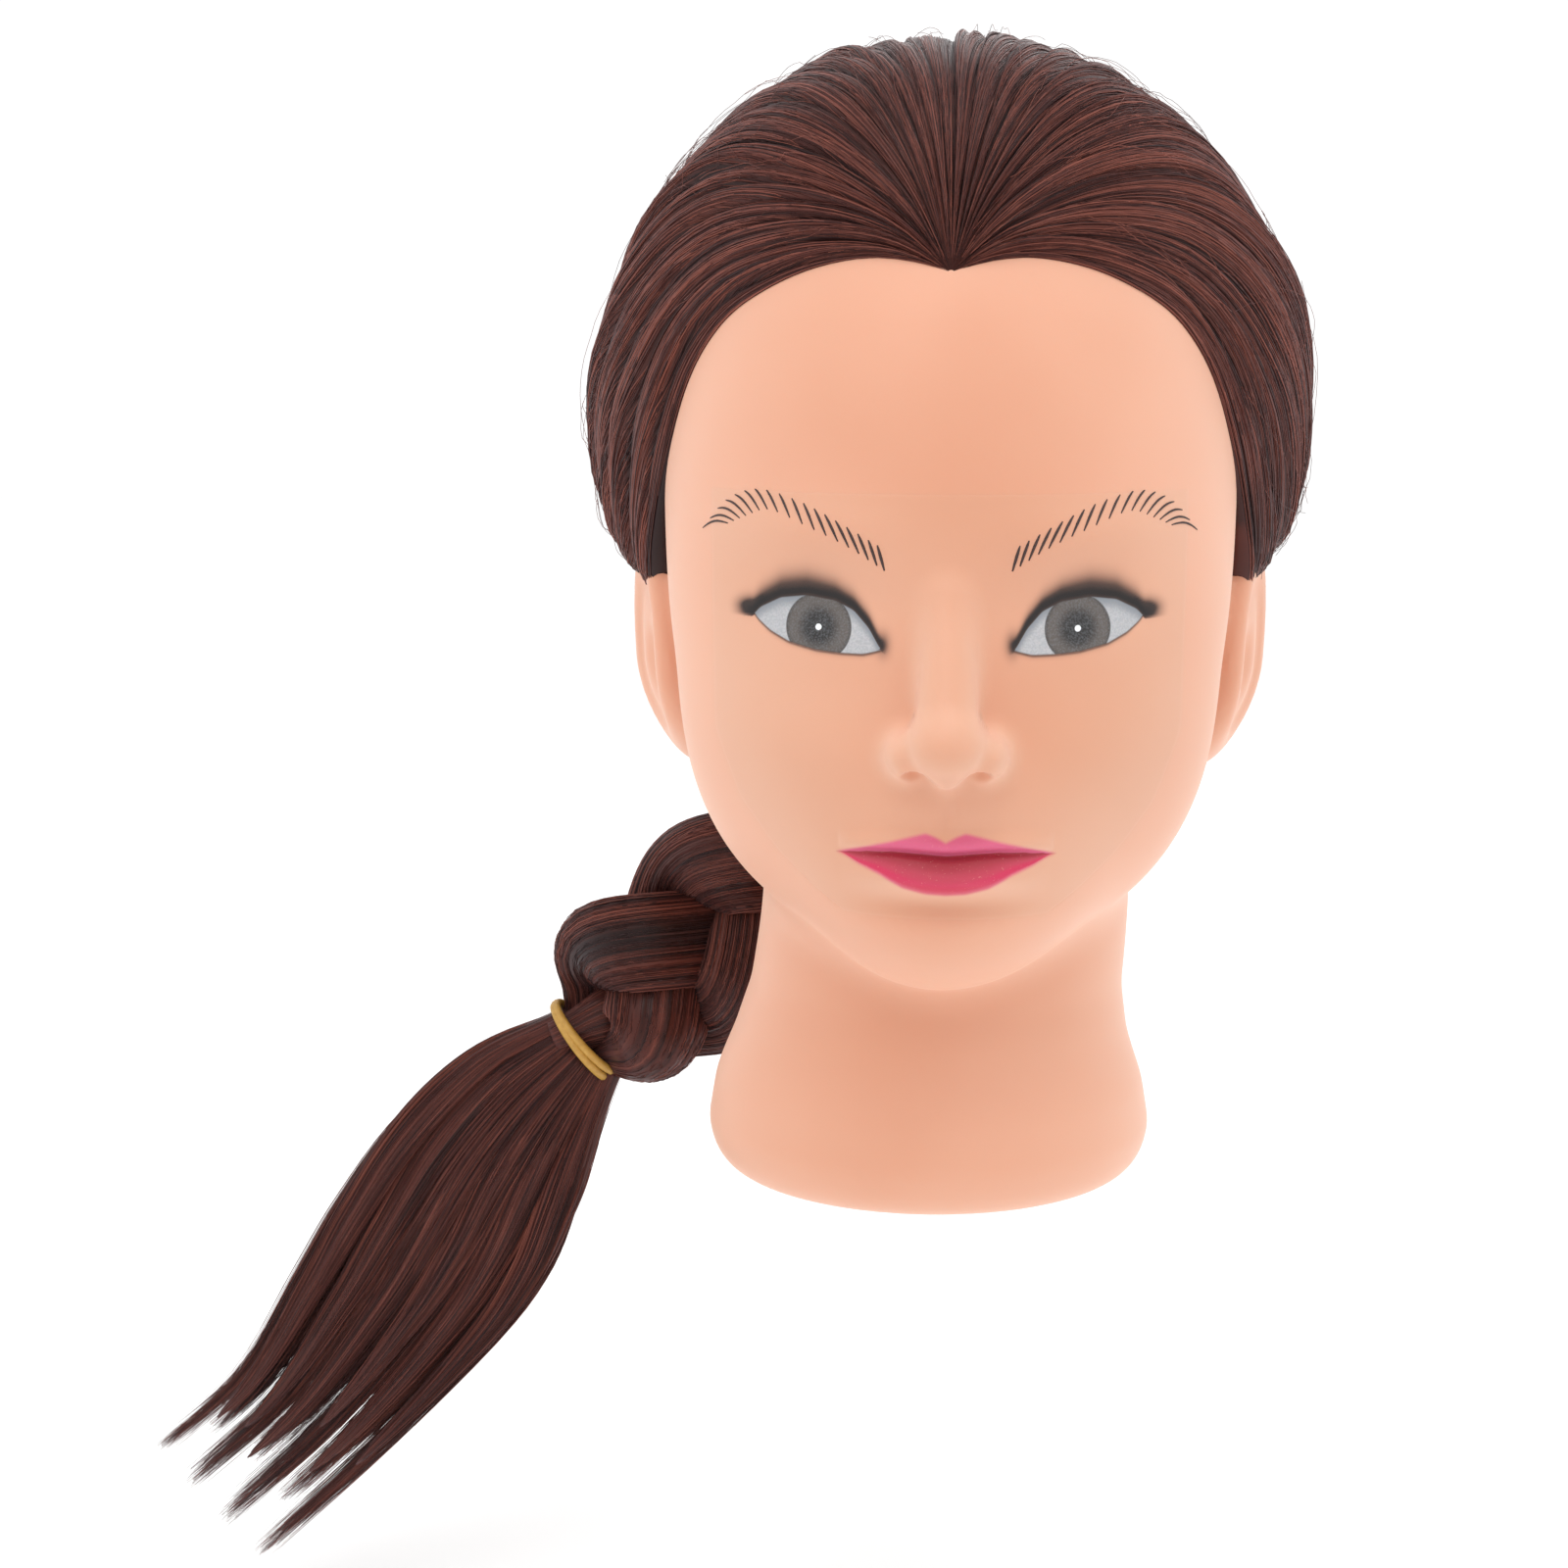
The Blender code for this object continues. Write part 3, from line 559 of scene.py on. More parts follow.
@dataclass(frozen=True)
class HairFinish:
    """Colours of the synthetic hair."""

    # Darkest brown: the dark streaks, and the painted shade in the grooves and under other hair.
    deep: tuple = (0.0105, 0.0027, 0.0022)
    middle: tuple = (0.077, 0.0170, 0.0110)
    # Lightest brown: lighter strands, which also stand in for the highlights on the hair.
    light: tuple = (0.270, 0.080, 0.053)

    def tone_group(self) -> bpy.types.NodeTree:
        """The colour of hair from its streaks, painted shade where it lies deep in a lock, and each strand's
        own tone.
        """
        tree = bpy.data.node_groups.new("hair_tone", "ShaderNodeTree")
        tree.interface.new_socket("Colour", in_out="OUTPUT", socket_type="NodeSocketColor")
        tree.interface.new_socket("Streak", in_out="OUTPUT", socket_type="NodeSocketFloat")
        build = Shader(tree)
        flow = {0: build.read("flow_across"), 1: build.read("flow_along"), 2: 0.0}
        place = build.add("ShaderNodeCombineXYZ", flow).outputs[0]
        fine = build.noise(1.0, 3.0, place)
        own = build.math("MULTIPLY", build.read("tone"), 0.5)
        total = build.math("ADD", build.math("MULTIPLY", fine, 0.8), own)
        colour = build.mix(build.steps(total, 0.35, 0.68), self.deep, self.middle)
        # Lighter streaks: random strand tone that also serves as painted highlight.
        colour = build.mix(build.steps(total, 0.62, 0.98), colour, self.light)
        # Painted shade: darker towards the deepest brown in the grooves between locks and where other hair
        # covers a lock.
        colour = build.mix(build.steps(build.read("depth"), 0.0, 0.55, 0.92, 0.0), colour, self.deep)
        out = build.add("NodeGroupOutput")
        build.put(out.inputs["Colour"], colour)
        build.put(out.inputs["Streak"], fine)
        return tree

    def fibre(self, group: bpy.types.NodeTree) -> bpy.types.Material:
        """The hair's material, with a pale sheen where it turns away."""
        build, made = Shader.material("hair_fibre_finish")
        tone = build.add("ShaderNodeGroup", node_tree=group)
        painted_rim_weight = build.add("ShaderNodeLayerWeight", {"Blend": 0.22}).outputs["Facing"]
        # Painted sheen: a pale lilac mixed in where the hair turns away from the camera.
        colour = build.mix(build.math("MULTIPLY", painted_rim_weight, 0.15), tone.outputs["Colour"], (0.42, 0.33, 0.36))
        roughness = build.steps(tone.outputs["Streak"], 0.3, 0.7, 0.30, 0.44)
        build.finish(
            colour, roughness, Specular_IOR_Level=0.20, Sheen_Weight=0.05, Sheen_Roughness=0.4,
            Sheen_Tint=(0.95, 0.80, 0.86, 1.0), Normal=build.bump(tone.outputs["Streak"], 0.35, 0.0003),
        )
        return made


def plain_finish(
    name: str, colour: tuple, other: tuple, roughness: float, scale: float, metal: float = 0.0
) -> bpy.types.Material:
    """A simple procedural finish, mottled between two colours."""
    build, made = Shader.material(name)
    grain = build.noise(scale, 3.0)
    build.finish(
        build.mix(build.steps(grain, 0.3, 0.7), colour, other),
        build.steps(grain, 0.2, 0.8, roughness - 0.06, roughness + 0.06),
        Metallic=metal, Normal=build.bump(grain, 0.15, 0.0004),
    )
    return made


# ---------------------------------------------------------------- the moulded head


class MouldedHead:
    """The vinyl head: a mesh read from the form, and a finer painted face set into it."""

    STEP = 1.3
    FACE_STEP = 0.42
    FACE_HALF = ((78.0, 22.0), (84.0, 31.0), (92.0, 40.0), (104.0, 49.0), (120.0, 55.0), (176.0, 56.0))
    FACE_FROM = 78.0
    FACE_TO = 176.0
    SET_IN = 0.9
    BROW_ROOTS = [(14.0, 157.6), (22.0, 162.6), (31.0, 166.8), (40.0, 170.2), (45.5, 168.6), (50.0, 166.6)]
    BROW_TIPS = [(15.6, 163.2), (25.0, 168.4), (33.5, 172.4), (43.0, 174.6), (50.5, 171.8), (56.5, 165.0)]
    BROW_STROKES = 18

    def __init__(self, form: HeadForm, finish: VinylFinish) -> None:
        """Keeps the form and makes the two materials."""
        self.form = form
        group = finish.skin_group()
        self.plain, self.painted = finish.vinyl(group, False), finish.vinyl(group, True)

    def from_rim(self, x: Array, z: Array) -> Array:
        """How far inside the painted face's rim a place is."""
        to_side = profile(self.FACE_HALF, np.clip(z, self.FACE_FROM, self.FACE_TO)) - np.abs(x)
        to_end = np.minimum(z - self.FACE_FROM, self.FACE_TO - z)
        return np.minimum(to_side, to_end)

    def face_share(self, x: Array, z: Array) -> Array:
        """1 well inside the painted face and 0 near its rim, where the head isn't set back."""
        return ease((self.from_rim(x, z) - 2.6) / 3.0)

    def warm_tint_and_shade_at(self, x: Array, y: Array, z: Array) -> Array:
        """Where the vinyl is painted a deeper orange: a faint blush on the cheeks, and painted shade in the
        nostrils, the ear hollows, under the hair and under the chin.
        """
        x = np.abs(x)
        # The nostril, ear and neck terms are painted shade in recesses, under the hair and under the chin;
        # the cheek term is blush.
        nostril = 1.0 * np.exp(-(((x - 7.4) / 2.5) ** 2) - ((z - 114.4) / 1.9) ** 2) * ease((-y - 60) / 10)
        cheek = 0.10 * np.exp(-(((x - 20) / 8) ** 2) - ((z - 118) / 22) ** 2) * ease((-y - 50) / 10)
        ear = 0.55 * ease((x - 66) / 4) * ease((z - 108) / 6) * np.exp(-(((y - 6) / 12) ** 2))
        neck = 0.06 * ease((86 - z) / 14) * ease((z - 20) / 30) * ease((y + 62) / 12)
        return np.clip(nostril + cheek + ear + neck, 0, 1)

    def field(self) -> tuple[Array, tuple]:
        """Distances on half a grid, mirrored to the whole head."""
        x = np.arange(0, 84, self.STEP)
        y = np.arange(-108, 106, self.STEP)
        z = np.arange(-4, 266, self.STEP)
        px, py, pz = np.meshgrid(x, y, z, indexing="ij", sparse=True)
        found = self.body(px, py, pz)
        return np.concatenate([found[:0:-1], found]), (-x[-1], y[0], z[0])

    def body(self, x: Array, y: Array, z: Array) -> Array:
        """The head's distance, set back under the painted face and hollowed for the plug."""
        found = self.form.full(x, y, z)
        front = ease((-y - 30) / 10)
        found = found + self.SET_IN * self.face_share(x, z) * front
        around = np.sqrt(x * x + y * y)
        for radius, depth in (self.form.sizes.plug_recess, self.form.sizes.socket_recess):
            found = np.maximum(found, -np.maximum(around - radius, z - depth))
        return found

    @staticmethod
    def net(found: Array, origin: tuple, step: float) -> tuple[Array, Array]:
        """A surface through the zero of a grid of distances: one vertex a cell, one face an edge."""
        inside = found < 0
        nx, ny, nz = found.shape
        corners = [(i, j, k) for i in (0, 1) for j in (0, 1) for k in (0, 1)]
        total = sum(
            inside[i : nx - 1 + i, j : ny - 1 + j, k : nz - 1 + k].astype(np.int8) for i, j, k in corners
        )
        cells = np.argwhere((total > 0) & (total < 8))
        values = np.stack(
            [found[cells[:, 0] + i, cells[:, 1] + j, cells[:, 2] + k] for i, j, k in corners], 1
        )
        spot = np.zeros((len(cells), 3))
        hits = np.zeros(len(cells))
        for a, first in enumerate(corners):
            for b in range(a + 1, 8):
                if sum(abs(p - q) for p, q in zip(first, corners[b])) != 1:
                    continue
                va, vb = values[:, a], values[:, b]
                crossed = (va < 0) != (vb < 0)
                t = np.where(crossed, va / np.where(crossed, va - vb, 1), 0)
                place = np.array(first) + t[:, None] * (np.array(corners[b]) - np.array(first))
                spot += place * crossed[:, None]
                hits += crossed
        points = (cells + spot / hits[:, None]) * step + np.array(origin)
        number = np.full((nx - 1, ny - 1, nz - 1), -1, np.int32)
        number[tuple(cells.T)] = np.arange(len(cells))
        faces = []
        for axis in range(3):
            low = [slice(1, -1)] * 3
            high = [slice(1, -1)] * 3
            low[axis], high[axis] = slice(0, -1), slice(1, None)
            first, second = inside[tuple(low)], inside[tuple(high)]
            at = np.argwhere(first != second)
            out = first[tuple(at.T)]
            shift = np.ones(3, int)
            shift[axis] = 0
            at = at + shift
            u, v = (axis + 1) % 3, (axis + 2) % 3
            step_u, step_v = np.eye(3, dtype=int)[u], np.eye(3, dtype=int)[v]
            ring = [at - step_u - step_v, at - step_v, at, at - step_u]
            quad = np.stack([number[tuple(part.T)] for part in ring], 1)
            faces.append(np.where(out[:, None], quad, quad[:, ::-1]))
        return points, np.concatenate(faces)

    def build(self) -> None:
        """Makes the head and the painted face."""
        found, origin = self.field()
        points, quads = self.net(found, origin, self.STEP)
        for _ in range(2):
            x, y, z = points.T
            away = self.body(x, y, z)
            slope = np.stack(
                [self.body(x + h[0], y + h[1], z + h[2]) - self.body(x - h[0], y - h[1], z - h[2])
                 for h in np.eye(3) * 0.25], 1,
            )
            sharp = (z > 0.6) | (np.hypot(x, y) > 46)
            points = points - unit(slope) * np.clip(away, -0.5, 0.5)[:, None] * sharp[:, None]
        warm_tint_and_shade = self.warm_tint_and_shade_at(*points.T)
        points[:, 0] += self.form.lean(points[:, 2])
        head = make_piece("vinyl_head", points, quads)
        paint(head, "warm_tint_and_shade", warm_tint_and_shade)
        settle(head, self.plain, Body.HEAD)
        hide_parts("head_skin")
        self.build_face()
        self.build_foam()

    def build_foam(self) -> None:
        """Makes the foam that fills the head, out of sight."""
        step = 4.0
        x, y, z = np.arange(-80, 81, step), np.arange(-100, 101, step), np.arange(0, 264, step)
        px, py, pz = np.meshgrid(x, y, z, indexing="ij", sparse=True)
        radius, depth = self.form.sizes.socket_recess
        pocket = -np.maximum(np.sqrt(px * px + py * py) - radius - 1, pz - depth - 2)
        floor = self.form.sizes.plug_recess[1] + 1 - pz
        found = np.maximum(np.maximum(self.form.plain(px, py, pz) + 7, pocket), floor)
        points, quads = self.net(found, (x[0], y[0], z[0]), step)
        points[:, 0] += self.form.lean(points[:, 2])
        foam = make_piece("foam_filling", points, quads)
        cream = plain_finish("cream_foam", (0.72, 0.66, 0.50), (0.60, 0.54, 0.40), 0.9, 900.0)
        settle(foam, cream, Body.HEAD)
        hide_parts("foam_core")

    def build_face(self) -> None:
        """Makes the painted face as a thin closed solid set into the head."""
        sizes = self.form.sizes
        up = np.arange(self.FACE_FROM, self.FACE_TO + 0.01, self.FACE_STEP)
        z, x = np.meshgrid(up, np.linspace(-1, 1, 265), indexing="ij")
        x = x * profile(self.FACE_HALF, z)
        y = self.form.front_at(x, z)
        sunk = 0.5 * (1 - ease(self.from_rim(x, z) / 2.2)) - 0.06
        outer = np.stack([x + self.form.lean(z), y + sunk, z], -1)
        inner = outer + np.array([0, 0.35, 0])
        points, quads = shell(outer, inner)
        face = make_piece("painted_face", points, quads)
        side = np.abs(x)
        lid = profile(sizes.upper_lid, np.clip(side, 14, 44))
        low = profile(sizes.lower_lid, np.clip(side, 14, 44))
        past = np.maximum(side - 44, 0) + np.maximum(14 - side, 0)
        above = z - lid
        inside = np.minimum(lid - z, z - low) - past
        iris = np.hypot(side - sizes.iris[0], z - sizes.iris[1])
        arch = np.exp(-(((side - 33) / 14) ** 2))
        outside = np.maximum(above - 1.2 - 1.7 * arch, 0) / (1.5 + 1.0 * arch)
        smoke = 0.95 * ease((above + 0.4) / 0.8) * np.exp(-(outside**1.6))
        smoke *= ease((side - 12.5) / 5) * ease((50 - side) / 6)
        smoke += 0.6 * np.exp(-(((side - 45) / 2.8) ** 2) - ((z - 148.6) / 1.9) ** 2)
        smoke += 0.8 * np.exp(-(((side - 14.2) / 1.5) ** 2) - ((z - 141.4) / 2.6) ** 2)
        below = np.exp(-((np.minimum(z - low, 0) / 0.8) ** 2)) * (z < low)
        smoke += 0.35 * below * ease((45 - side) / 6) * ease((side - 14) / 3)
        liner = ease((side - 13.2) / 2.5) * ease((47.5 - side) / 4)
        along = np.clip(side, 0, 24.5)
        top, bottom = profile(sizes.lip_top, along), profile(sizes.lip_bottom, along)
        line = profile(sizes.mouth_line, along)
        down = (line - z) / np.maximum(np.where(z > line, top - line, line - bottom), 0.3)
        lips = np.minimum(np.minimum(top - z, z - bottom), 24.2 - side)
        values = {
            "warm_tint_and_shade": self.warm_tint_and_shade_at(x, y, z), "eye_inside": inside, "eye_above": above, "iris_far": iris,
            "smoke": np.clip(smoke, 0, 1) * (z > 125), "liner": liner, "lip_down": down, "lip_inside_and_mouth_shadow": lips,
        }
        for name, value in values.items():
            paint(face, name, np.concatenate([value.ravel(), value.ravel()]))
        settle(face, self.painted, Body.HEAD)
        self.build_brows()

    def build_brows(self) -> None:
        """Makes the fine painted strokes of the two brows."""
        build, ink = Shader.material("brow_ink")
        build.finish(build.mix(build.noise(900.0), (0.020, 0.008, 0.007), (0.050, 0.020, 0.017)), 0.5)
        share = np.linspace(0, 1, self.BROW_STROKES) ** 1.12
        root = through(self.BROW_ROOTS, share)
        tip = through(self.BROW_TIPS, share)
        run = np.linspace(0, 1, 9)
        lines, radii = [], []
        for mirror in (-1, 1):
            for k in range(len(share)):
                flat = root[k] + (tip[k] - root[k]) * run[:, None]
                bow = (0.5 + 0.9 * share[k]) * np.sin(pi * run)
                x, z = flat[:, 0] + 0.2 * bow, flat[:, 1] + 0.7 * bow
                y = self.form.front_at(x, z)
                lines.append(np.stack([mirror * x + self.form.lean(z), y + 0.03, z], -1))
                radii.append((0.40 - 0.12 * share[k]) * np.sin(pi * np.clip(0.14 + 0.74 * run, 0, 1)) ** 0.7)
        centres = np.array(lines)
        outward = np.broadcast_to([0.0, -1, 0.3], centres.shape)
        piece = make_piece("brow_strokes", *bundle(centres, np.array(radii), outward, 6))
        settle(piece, ink, Body.HEAD)


# ---------------------------------------------------------------- hair on the scalp


class ScalpHair:
    """Hair that runs from the middle of the hairline, round the head, to the nape."""

    EDGE = [
        (0, -62.5, 223.0), (15, -58, 225.8), (25.5, -54, 224.8), (40.5, -46, 219.8), (51, -37, 213),
        (60.5, -28.5, 200.5), (65.5, -22.5, 186), (69.3, -12, 170), (71.6, 2, 146), (72, 12, 143),
        (68, 25, 136), (60, 38, 126), (50, 50, 115), (36, 60, 106), (18, 69, 100),
    ]
    POLE = np.array([0.0, -61.5, 221.5])
    NAPE = np.array([0.0, 73.0, 97.0])
    FULLNESS = 19.5
    END = 171.0
    STRAND_PIECES = 5
    STRANDS_EACH = 1000
    STRAYS = 170

    def __init__(self, form: HeadForm, fibre: bpy.types.Material) -> None:
        """Works out the directions of the flow and how far the head reaches along them."""
        self.form, self.fibre = form, fibre
        self.middle = (self.POLE + self.NAPE) / 2
        self.axis = unit(self.POLE - self.NAPE)
        self.up = np.array([0.0, self.axis[2], -self.axis[1]])
        self.grain = Grain(7)
        rows = []
        for point in self.EDGE:
            away = np.array(point) - self.middle
            turn = np.degrees(np.arccos(np.clip(away @ self.axis / np.linalg.norm(away), -1, 1)))
            rows.append((turn, np.degrees(atan2(away[0], away @ self.up))))
        rows[0] = (0.0, rows[1][1] - 2)
        self.edge = rows + [(180.0, rows[-1][1])]
        self.turns = np.radians(np.arange(0, 181, 2.5))
        self.sides = np.radians(np.arange(-130, 131, 2.5))
        turn, side = np.meshgrid(self.turns, self.sides, indexing="ij")
        self.far = form.reach(self.middle, self.direction(turn, side))

    def direction(self, turn: Array, side: Array) -> Array:
        """The direction from the middle at an angle from the front pole and one round from the top."""
        ring = np.cos(side)[..., None] * self.up + np.sin(side)[..., None] * np.array([1.0, 0, 0])
        return np.cos(turn)[..., None] * self.axis + np.sin(turn)[..., None] * ring

    def head_far(self, turn: Array, side: Array) -> Array:
        """How far the plain head reaches there."""
        i = np.clip((turn - self.turns[0]) / (self.turns[1] - self.turns[0]), 0, len(self.turns) - 1.001)
        j = np.clip((side - self.sides[0]) / (self.sides[1] - self.sides[0]), 0, len(self.sides) - 1.001)
        i0, j0 = i.astype(int), j.astype(int)
        u, v = i - i0, j - j0
        low = self.far[i0, j0] * (1 - u) + self.far[i0 + 1, j0] * u
        high = self.far[i0, j0 + 1] * (1 - u) + self.far[i0 + 1, j0 + 1] * u
        return low * (1 - v) + high * v

    def warp(self, s: Array, turn: Array) -> Array:
        """How far the locks wander sideways."""
        swing = 0.030 * self.grain.at(s * 3.1 + 9, turn * 1.9) + 0.012 * self.grain.at(s * 9 + 40, turn * 3.1)
        return swing * np.sin(turn) * (1 - s * s)

    def relief(self, s: Array, turn: Array) -> tuple[Array, Array]:
        """The height of the locks and strands in the surface, and how deep each place lies in them, which the
        hair's colour turns into painted shade in the grooves.
        """
        w = s + self.warp(s, turn)
        count = 13.0
        place = w * count + 0.9 * self.grain.at(w * 5 + 3, turn * 1.1)
        share = place - np.floor(place)
        lock = np.sin(pi * np.clip(share, 0, 1) ** 0.50) ** 0.7
        amount = 0.65 + 0.35 * self.grain.at(np.floor(place) * 3.7 + 0.5, turn * 1.3 + 2)
        clump = self.grain.at(w * 62, turn * 1.5 + 5)
        fine = self.grain.at(w * 190 + 11, turn * 2.6)
        height = 3.8 * lock * amount + 0.75 * clump + 0.28 * fine
        return height, np.clip(0.92 * lock * amount + 0.20 * clump + 0.18 * fine - 0.02, 0, 1)

    def thickness(self, s: Array, turn: Array, low: Array) -> Array:
        """How thick the hair lies on the head."""
        from_front = np.degrees(turn) * 1.55
        from_edge = (1 - np.abs(s)) * low * np.sin(turn) * 88
        near = smooth_min(from_front, from_edge, 6)
        rise = ease(np.clip(near, 0, 40) / 40) ** 0.55
        degrees = np.degrees(turn)
        nape = 1 - 0.62 * ease((degrees - 105) / 60)
        edge = 6.5 * np.exp(-(((degrees - 98) / 19) ** 2))
        return edge + (self.FULLNESS * nape - edge) * rise

    def place(self, s: Array, turn: Array, lift: Array | float = 0.0) -> tuple[Array, Array]:
        """Points on the hair's surface, and how deep each lies in its lock, for the painted shade in the
        grooves.
        """
        low = np.radians(profile(self.edge, np.degrees(turn)))
        side = s * low
        far = self.head_far(turn, side) + self.thickness(s, turn, low)
        height, depth = self.relief(s, turn)
        far = far + (height - 1.6) * ease(np.degrees(turn) / 9) * ease((1 - np.abs(s)) * 14 + 0.12)
        points = self.middle + self.direction(turn, side) * (far + lift)[..., None]
        points[..., 0] += self.form.lean(points[..., 2])
        return points, depth

    def build(self) -> None:
        """Makes the mass of hair, the strands over it and the strays."""
        turns = np.radians(np.linspace(0.4, self.END, 84))
        turn, s = np.meshgrid(turns, np.linspace(-1, 1, 700), indexing="ij")
        outer, depth = self.place(s, turn)
        low = np.radians(profile(self.edge, np.degrees(turn)))
        far = self.head_far(turn, s * low) - 1.6
        inner = self.middle + self.direction(turn, s * low) * far[..., None]
        inner[..., 0] += self.form.lean(inner[..., 2])
        points, quads = shell(outer, inner)
        mass = make_piece("scalp_hair_mass", points, quads)
        self.paint_flow(mass, np.concatenate([s.ravel()] * 2), np.concatenate([turn.ravel()] * 2))
        paint(mass, "depth", np.concatenate([depth.ravel()] * 2))
        paint(mass, "tone", np.full(len(points), 0.42))
        settle(mass, self.fibre, Body.HEAD)
        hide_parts("hair_front", "hair_left", "hair_right", "hair_back", "hair_crown")
        random = np.random.default_rng(11)
        for number in range(self.STRAND_PIECES):
            self.strands(f"scalp_strands_{number + 1}", random, self.STRANDS_EACH)
        self.strays(random)

    @staticmethod
    def paint_flow(piece: bpy.types.Object, s: Array, turn: Array) -> None:
        """Stores where each vertex is across and along the flow."""
        paint(piece, "flow_across", s * 210)
        paint(piece, "flow_along", turn * 2.2)

    def strands(self, name: str, random: np.random.Generator, count: int) -> None:
        """Fine strands that follow the locks."""
        steps = 26
        s = random.uniform(-0.995, 0.995, count)
        at_front = random.random(count) < 0.55
        start = np.radians(np.where(at_front, random.uniform(1.5, 14, count), random.uniform(2, 110, count)))
        end = np.radians(np.clip(np.degrees(start) + random.uniform(45, 150, count), 0, self.END))
        run = np.linspace(0, 1, steps)
        turn = start[:, None] + (end - start)[:, None] * run
        across = np.clip(s[:, None] - self.warp(s[:, None], turn), -1, 1)
        arc = np.sin(pi * run)
        drift = random.normal(0, 0.004, count)[:, None] * arc + random.normal(0, 0.003, count)[:, None] * run
        lift = random.uniform(-0.1, 0.45, count)[:, None] + 0.35 * random.random(count)[:, None] * arc
        centres, depth = self.place(np.clip(across + drift, -1, 1), turn, lift)
        radii = random.uniform(0.10, 0.19, count)[:, None] * np.sin(pi * (0.06 + 0.88 * run)) ** 0.5
        outward = centres - self.middle
        piece = make_piece(name, *bundle(centres, radii, outward))
        self.paint_flow(piece, np.repeat(across.ravel(), 3), np.repeat(turn.ravel(), 3))
        paint(piece, "depth", np.repeat(np.clip(depth + 0.15, 0, 1).ravel(), 3))
        paint(piece, "tone", np.repeat(random.uniform(0.15, 1.0, count), steps * 3))
        settle(piece, self.fibre, Body.HEAD)

    def strays(self, random: np.random.Generator) -> None:
        """Loose hairs that cross the others and stand off the head."""
        count, steps = self.STRAYS, 22
        run = np.linspace(0, 1, steps)
        s = random.uniform(-0.95, 0.95, count)[:, None]
        start = np.radians(random.uniform(4, 90, count))[:, None]
        turn = start + np.radians(random.uniform(15, 55, count))[:, None] * run
        arc = np.sin(pi * run)
        drift = random.normal(0, 0.10, count)[:, None] * run + random.normal(0, 0.03, count)[:, None] * arc
        across = np.clip(s + drift, -0.99, 0.99)
        lift = 1.6 + random.uniform(0.0, 1.0, count)[:, None] * arc
        lift = lift + random.uniform(0, 1.2, count)[:, None] * run**3
        centres, _ = self.place(across, turn, lift)
        radii = np.full((count, steps), 0.07)
        piece = make_piece("scalp_strays", *bundle(centres, radii, centres - self.middle))
        self.paint_flow(piece, np.repeat(across.ravel(), 3), np.repeat(turn.ravel(), 3))
        paint(piece, "depth", np.ones(count * steps * 3))
        paint(piece, "tone", np.repeat(random.uniform(0.4, 1.0, count), steps * 3))
        settle(piece, self.fibre, Body.HEAD)


# ---------------------------------------------------------------- locks of hair


